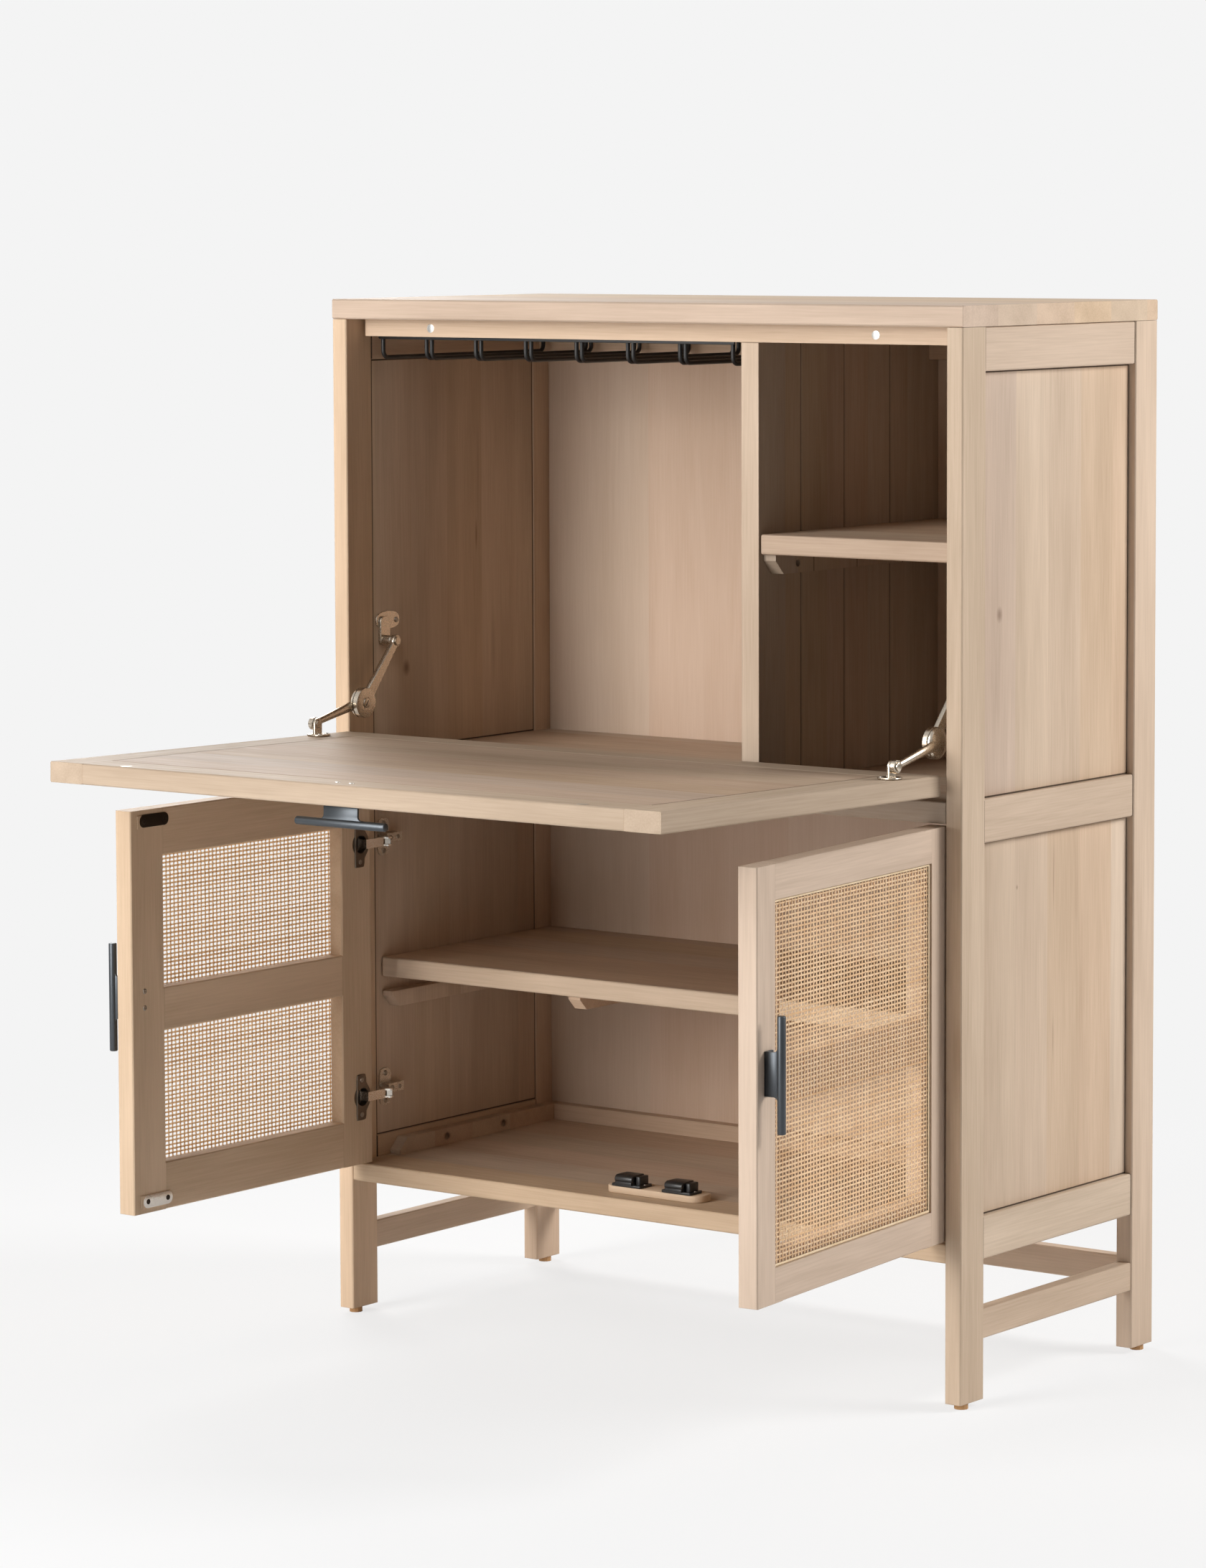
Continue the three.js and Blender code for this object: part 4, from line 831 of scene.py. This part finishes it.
# Limits of the foot, the housing and the ear beside it, from the catch's middle, front and root.
catch_blocks = [((-24, 24), (3, 31), (-0.1, 3.6), 2.5, 0.6), ((-17, 12), (4, 29), (0.5, 16.0), 2, 1.0),
                ((12.5, 20), (8, 28), (0.5, 15.0), 2, 1.0)]
nose = [(-14.5, 4.0), (-14, 5.0), (-13, 5.4), (13, 5.4), (14, 5.0), (14.5, 4.0)]
for name, root, away in (("lower", 212.6, 1), ("upper", 746.7, -1)):
    outline = outline_box(pair(0, strip_half), (strip_front, strip_front + strip_deep), 17, 8)
    base = root + away * strip_thick
    strip = plate(outline, sorted((root, base)), 0.8, axes("xyz"))
    build(name + "_catch_strip", [strip], strip_wood, "cabinet")
    parts, bright = [], []
    for middle in pair(0, catch_x):
        for wide, deep, high, corner, ease in catch_blocks:
            outline = outline_box(np.add(middle, wide), np.add(catch_front, deep), corner, 3)
            parts.append(plate(outline, sorted(base + away * np.array(high)), ease, axes("xyz")))
        parts.append(turned_piece((middle - 2.5, catch_front + 5.6, base + away * 10.4), (1, 0, 0), nose, 24))
        pole = outline_box((middle - 16, middle + 11), sorted((base + away * 3.4, base + away * 7.5)), 0.8, 2)
        parts.append(plate(pole, (catch_front + 0.4, catch_front + 8), 0.3, axes("xzy")))
        bright += [screw_head((middle + dx, catch_front + 17, base + away * 3.5), (0, 0, away), 2.0, 0.8)
                   for dx in (-20.5, 22.0)]
    build(name + "_catches", parts, nylon, "cabinet", [name + "_door_catch"])
    build(name + "_catch_screws", bright, screw_steel, "cabinet")


# The cup hinges. Pressed and nickel-plated steel: a cup sunk in the door, a link, and an arm on
# a plate screwed to the side, with its adjusting screws. The flap's long hinge is duller.
nickel = metal("nickel_plated_pressed_steel", "#D2CCC2", 0.28, 0.07, 0.9)
bright_nickel = metal("bright_nickel_plated_link", "#EFEAE2", 0.24, 0.06, 0.9)
dark_nickel = metal("dull_nickel_plated_cup", "#7E746A", 0.36, 0.07, 0.9)
for leaf in ("flap_hinge_shelf_leaf", "flap_hinge_flap_leaf"):
    dress(leaf, dark_nickel)
hinge_levels = {"lower": 308.0, "upper": 656.0}
cup_x, flange_thick, cup_depth = door_edge - 22.5, 1.8, 10.6
hinge_wall = panel_inner - 0.3 - 2.0
# The flange is straight on one side and swells round the cup towards the hinge edge on the other.
corners = np.array([(-12, -31.5), (5, -31.5), (7, -29.5), (7.3, -20), (14.5, -10), (16, 0), (14.5, 10), (7.3, 20),
                    (7, 29.5), (5, 31.5), (-10, 31.5), (-12, 29.5), (-12, -29.5)], float)
steps = np.linspace(0, 1, 12, endpoint=False)[:, None, None]
edge = (corners * (1 - steps) + np.roll(corners, -1, 0) * steps).reshape(-1, 2)
angle = np.linspace(-np.pi, np.pi, 72, endpoint=False)
around = np.arctan2(edge[:, 1], edge[:, 0])
order = np.argsort(around)
reach = np.interp(angle, around[order], np.hypot(*edge.T)[order], period=2 * np.pi)


def flanged_cup(level):
    """A pressed cup: rings from the outside of its floor up, round the flange, and down inside."""
    layers = [(-cup_depth, 14.2, 0), (-cup_depth + 1.5, 15.4, 0), (0.05, 15.5, 0), (0.1, 0, 1), (1.2, 0, 1),
              (1.6, -0.3, 1), (flange_thick, -0.8, 1), (flange_thick, 12.6, 0), (1.4, 12.1, 0),
              (-cup_depth + 2, 11.6, 0), (-cup_depth + 1, 10.5, 0)]
    rings = [np.stack([cup_x + (size + share * reach) * np.cos(angle), np.full(72, door_inside + 0.1 + height),
                       level + (size + share * reach) * np.sin(angle)], -1) for height, size, share in layers]
    return loft(np.stack(rings))


for side, sign in side_sign.items():
    on_door, on_wall = [], []
    for name, level in hinge_levels.items():
        dress(f"{side}_{name}_hinge_link", bright_nickel)
        dress(f"{side}_{name}_hinge_arm", nickel)
        build(f"{side}_{name}_hinge_flanged_cup", [flanged_cup(level)], dark_nickel, side + "_door",
              [f"{side}_{name}_hinge_cup"], smooth=30)
        on_door += [screw_head((cup_x - 2, door_inside + flange_thick, z), (0, 1, 0), 3.6, 1.0)
                    for z in pair(level, 24)]
        # Two screws hold the plate, and two adjust the arm, 14 mm in from it.
        on_wall += [screw_head((sign * (hinge_wall - stand), y, level + dz), (-sign, 0, 0), size, high)
                    for stand, y, dz, size, high in ((0, 72, -19, 3.8, 1.4), (0, 72, 19, 3.8, 1.4),
                                                     (14, 70, 0, 3.4, 1.5), (14, 86, 0, 3.0, 1.5))]
    build(side + "_hinge_cup_screws", on_door, screw_steel, side + "_door")
    build(side + "_hinge_arm_screws", on_wall, screw_steel, "cabinet")


# The stays. Cast and plated lid stays with a braked joint: a plate on the side wall, a flat arm
# down to the joint's wide disc, and a round tapered arm on to the foot on the flap.
satin_nickel = metal("satin_nickel_casting", "#C4B8A8", 0.27, 0.06, 1.2)
stay_wall, stay_pin_closed = np.array((73.0, 928.0)), (49.8, 85.4)
upper_length, lower_length, hub_radius = 104.5, 99.0, 20.5
arm_inner, arm_middle, arm_outer = 459.0, 467.0, 475.6
# The joint lies where circles of the arms' lengths about their two pins cross.
stay_flap = swing_flap(np.array([(0, *stay_pin_closed)]))[0, 1:]
between = stay_wall - stay_flap
gap = np.linalg.norm(between)
along_line = (gap ** 2 + lower_length ** 2 - upper_length ** 2) / (2 * gap)
aside = math.sqrt(lower_length ** 2 - along_line ** 2)
unit = between / gap
stay_hub = stay_flap + unit * along_line + np.array((unit[1], -unit[0])) * aside


def in_plane(origin, towards, sign):
    """A lift from (along an arm, square to it, out from the middle) to the cabinet, on one side."""
    way = (towards - origin) / np.linalg.norm(towards - origin)

    def lift(points):
        along, square, x = np.moveaxis(points, -1, 0)
        y = origin[0] + along * way[0] - square * way[1]
        z = origin[1] + along * way[1] + square * way[0]
        return np.stack([x * sign, y, z], -1)
    return lift


def arm_outline(length, root, tip, eye):
    """The round eye at the start and the straight sides on to the far end, as a closed outline."""
    open_half = math.asin(root / eye)
    bend = np.linspace(open_half, 2 * np.pi - open_half, 25)
    start = np.stack([eye * np.cos(bend), eye * np.sin(bend)], -1)
    return np.concatenate([start, [(length, -tip), (length, tip)]])


flat = arm_outline(upper_length - 8, 5.6, 8.2, 8.4)
dished = [(0.3, 1.0), (0.3, 7.6), (0.0, 8.2), (0.0, 18.6), (0.4, 19.9), (1.2, hub_radius),
          (7.0, hub_radius), (7.9, 19.6), (8.0, 18.0)]
cap = [(-1.4, 1.0), (-1.4, 5.6), (-1.1, 6.3), (-0.5, 6.7), (0.6, 6.8)]
slot = outline_box((-4.6, 4.6), (-0.8, 0.8), 0.7, 3)
# The round arm's section at each place along it: half its width and half its thickness.
stations = np.array([(3, 4.2, 3.8), (10, 4.6, 3.9), (40, 5.2, 4.1), (70, 6.2, 4.2), (84, 7.6, 4.2), (92, 9.4, 4.1)])
around = np.linspace(0, 2 * np.pi, 20, endpoint=False)
middle_x = (arm_middle + 0.6 + arm_outer) / 2
at, half, thick = stations.T[..., None]
rings = np.stack([np.broadcast_to(at, (6, 20)), half * np.cos(around), middle_x + thick * np.sin(around)], -1)
domed = [(0.7, 17.0), (0.75, 19.6), (1.6, hub_radius), (3.4, 20.2), (5.4, 18.2), (7.0, 14.0), (8.1, 8.0), (8.5, 1.0)]
eye_ring = [(0.8, 5.0), (0.8, 7.6), (1.6, 8.6), (7.4, 8.6), (8.3, 7.8), (8.4, 5.0)]
for side, sign in side_sign.items():
    hub_at, outwards = (sign * arm_inner, *stay_hub), (sign, 0, 0)
    parts = [plate(flat, (arm_inner + 0.6, arm_middle - 0.6), 0.9, in_plane(stay_wall, stay_hub, sign)),
             turned_piece(hub_at, outwards, dished, 48), turned_piece(hub_at, outwards, cap, 32)]
    build(side + "_stay_flat_arm", parts, satin_nickel, side + "_stay_upper_arm",
          [side + "_stay_upper_arm"], smooth=24)
    lift = in_plane(stay_hub, stay_hub + np.array((0.6, 0.8)), sign)
    build(side + "_stay_cap_slot", [plate(slot, (arm_inner - 1.5, arm_inner - 1.3), 0.05, lift)], gunmetal,
          side + "_stay_upper_arm")
    parts = [loft(in_plane(stay_flap, stay_hub, sign)(rings)),
             turned_piece((sign * arm_middle, *stay_hub), outwards, domed, 48),
             turned_piece((sign * arm_middle, *stay_flap), outwards, eye_ring, 28)]
    build(side + "_stay_round_arm", parts, satin_nickel, side + "_stay_lower_arm",
          [side + "_stay_lower_arm"], smooth=24)


# The stays' fixings. A keyhole-shaped plate screwed to the side wall carries the flat arm's pin,
# and an oval foot screwed to the flap carries the round arm's. Both are drawn for the right side.
wall, foot_y = panel_inner - 0.3, flap_inner + 0.3
wall_y, wall_z = stay_wall
turn = np.linspace(0, 2 * np.pi, 48, endpoint=False)
head = np.stack([wall_y + 11.5 + 25 * np.sign(np.cos(turn)) * np.abs(np.cos(turn)) ** 0.85,
                 955 + 12.6 * np.sign(np.sin(turn)) * np.abs(np.sin(turn)) ** 0.7], -1)
strap = outline_box((wall_y - 8, wall_y + 13), (920.5, 961), 7.9, 7)
wall_boss = [(0, 7.6), (15.5, 7.0), (16.8, 6.2), (16.8, 1.0)]
wall_pin = [(-1, 3.2), (8.6, 3.2), (8.8, 6.3), (9.9, 6.3), (10.4, 5.2), (10.4, 1)]
wall_parts = [plate(head, (wall - 2.2, wall), 0.7, axes("yzx")),
              plate(strap, (wall - 5.4, wall - 0.2), 0.9, axes("yzx")),
              turned_piece((wall - 3, wall_y, wall_z), (-1, 0, 0), wall_boss, 28),
              turned_piece((arm_middle + 1, wall_y, wall_z), (-1, 0, 0), wall_pin, 28)]
wall_heads = [screw_head((wall - 2.2, wall_y + dy, 954.5), (-1, 0, 0), 3.9, 1.5) for dy in (-5.5, 29)]
pin_y, pin_z = stay_pin_closed
oval = outline_box((448.3, 477.7), pair(pin_z, 13.8), 10.8, 7)
bend = np.linspace(0, np.pi, 13)
lug_half = 7.6
lug_end = np.stack([pin_y + lug_half * np.sin(bend), -lug_half * np.cos(bend)], -1)
lug = np.concatenate([[(foot_y, -lug_half)], lug_end, [(foot_y, lug_half)]])
foot_pin = [(-1.6, 1), (-1.6, 4.6), (-1.0, 5.4), (0.4, 5.4), (0.5, 3.2), (12.2, 3.2), (12.3, 5.8), (13.6, 5.6),
            (14.0, 4.6), (14.0, 1)]
foot_parts = [plate(oval, (foot_y, foot_y + 2.9), 0.9, axes("xzy")),
              plate(lug + (0, pin_z), (463.5, 467.2), 0.5, axes("yzx")),
              turned_piece((463.6, pin_y, pin_z), (1, 0, 0), foot_pin, 28)]
foot_heads = [screw_head((455.2, foot_y + 2.9, z), (0, 1, 0), 3.0, 1.2) for z in pair(pin_z, 7.5)]
for side, sign in side_sign.items():
    build(side + "_stay_wall_plate", wall_parts, satin_nickel, "cabinet", [side + "_stay_wall_bracket"],
          smooth=24, sign=sign)
    build(side + "_stay_wall_screws", wall_heads, screw_steel, "cabinet", sign=sign)
    build(side + "_stay_flap_foot", foot_parts, satin_nickel, "flap", [side + "_stay_flap_bracket"],
          smooth=24, sign=sign)
    build(side + "_stay_foot_screws", foot_heads, screw_steel, "flap", sign=sign)

bpy.context.scene.view_settings.view_transform = "Standard"
size = {"cad": [list(corner) for corner in solid_size], "visual": [list(corner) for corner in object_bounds()]}
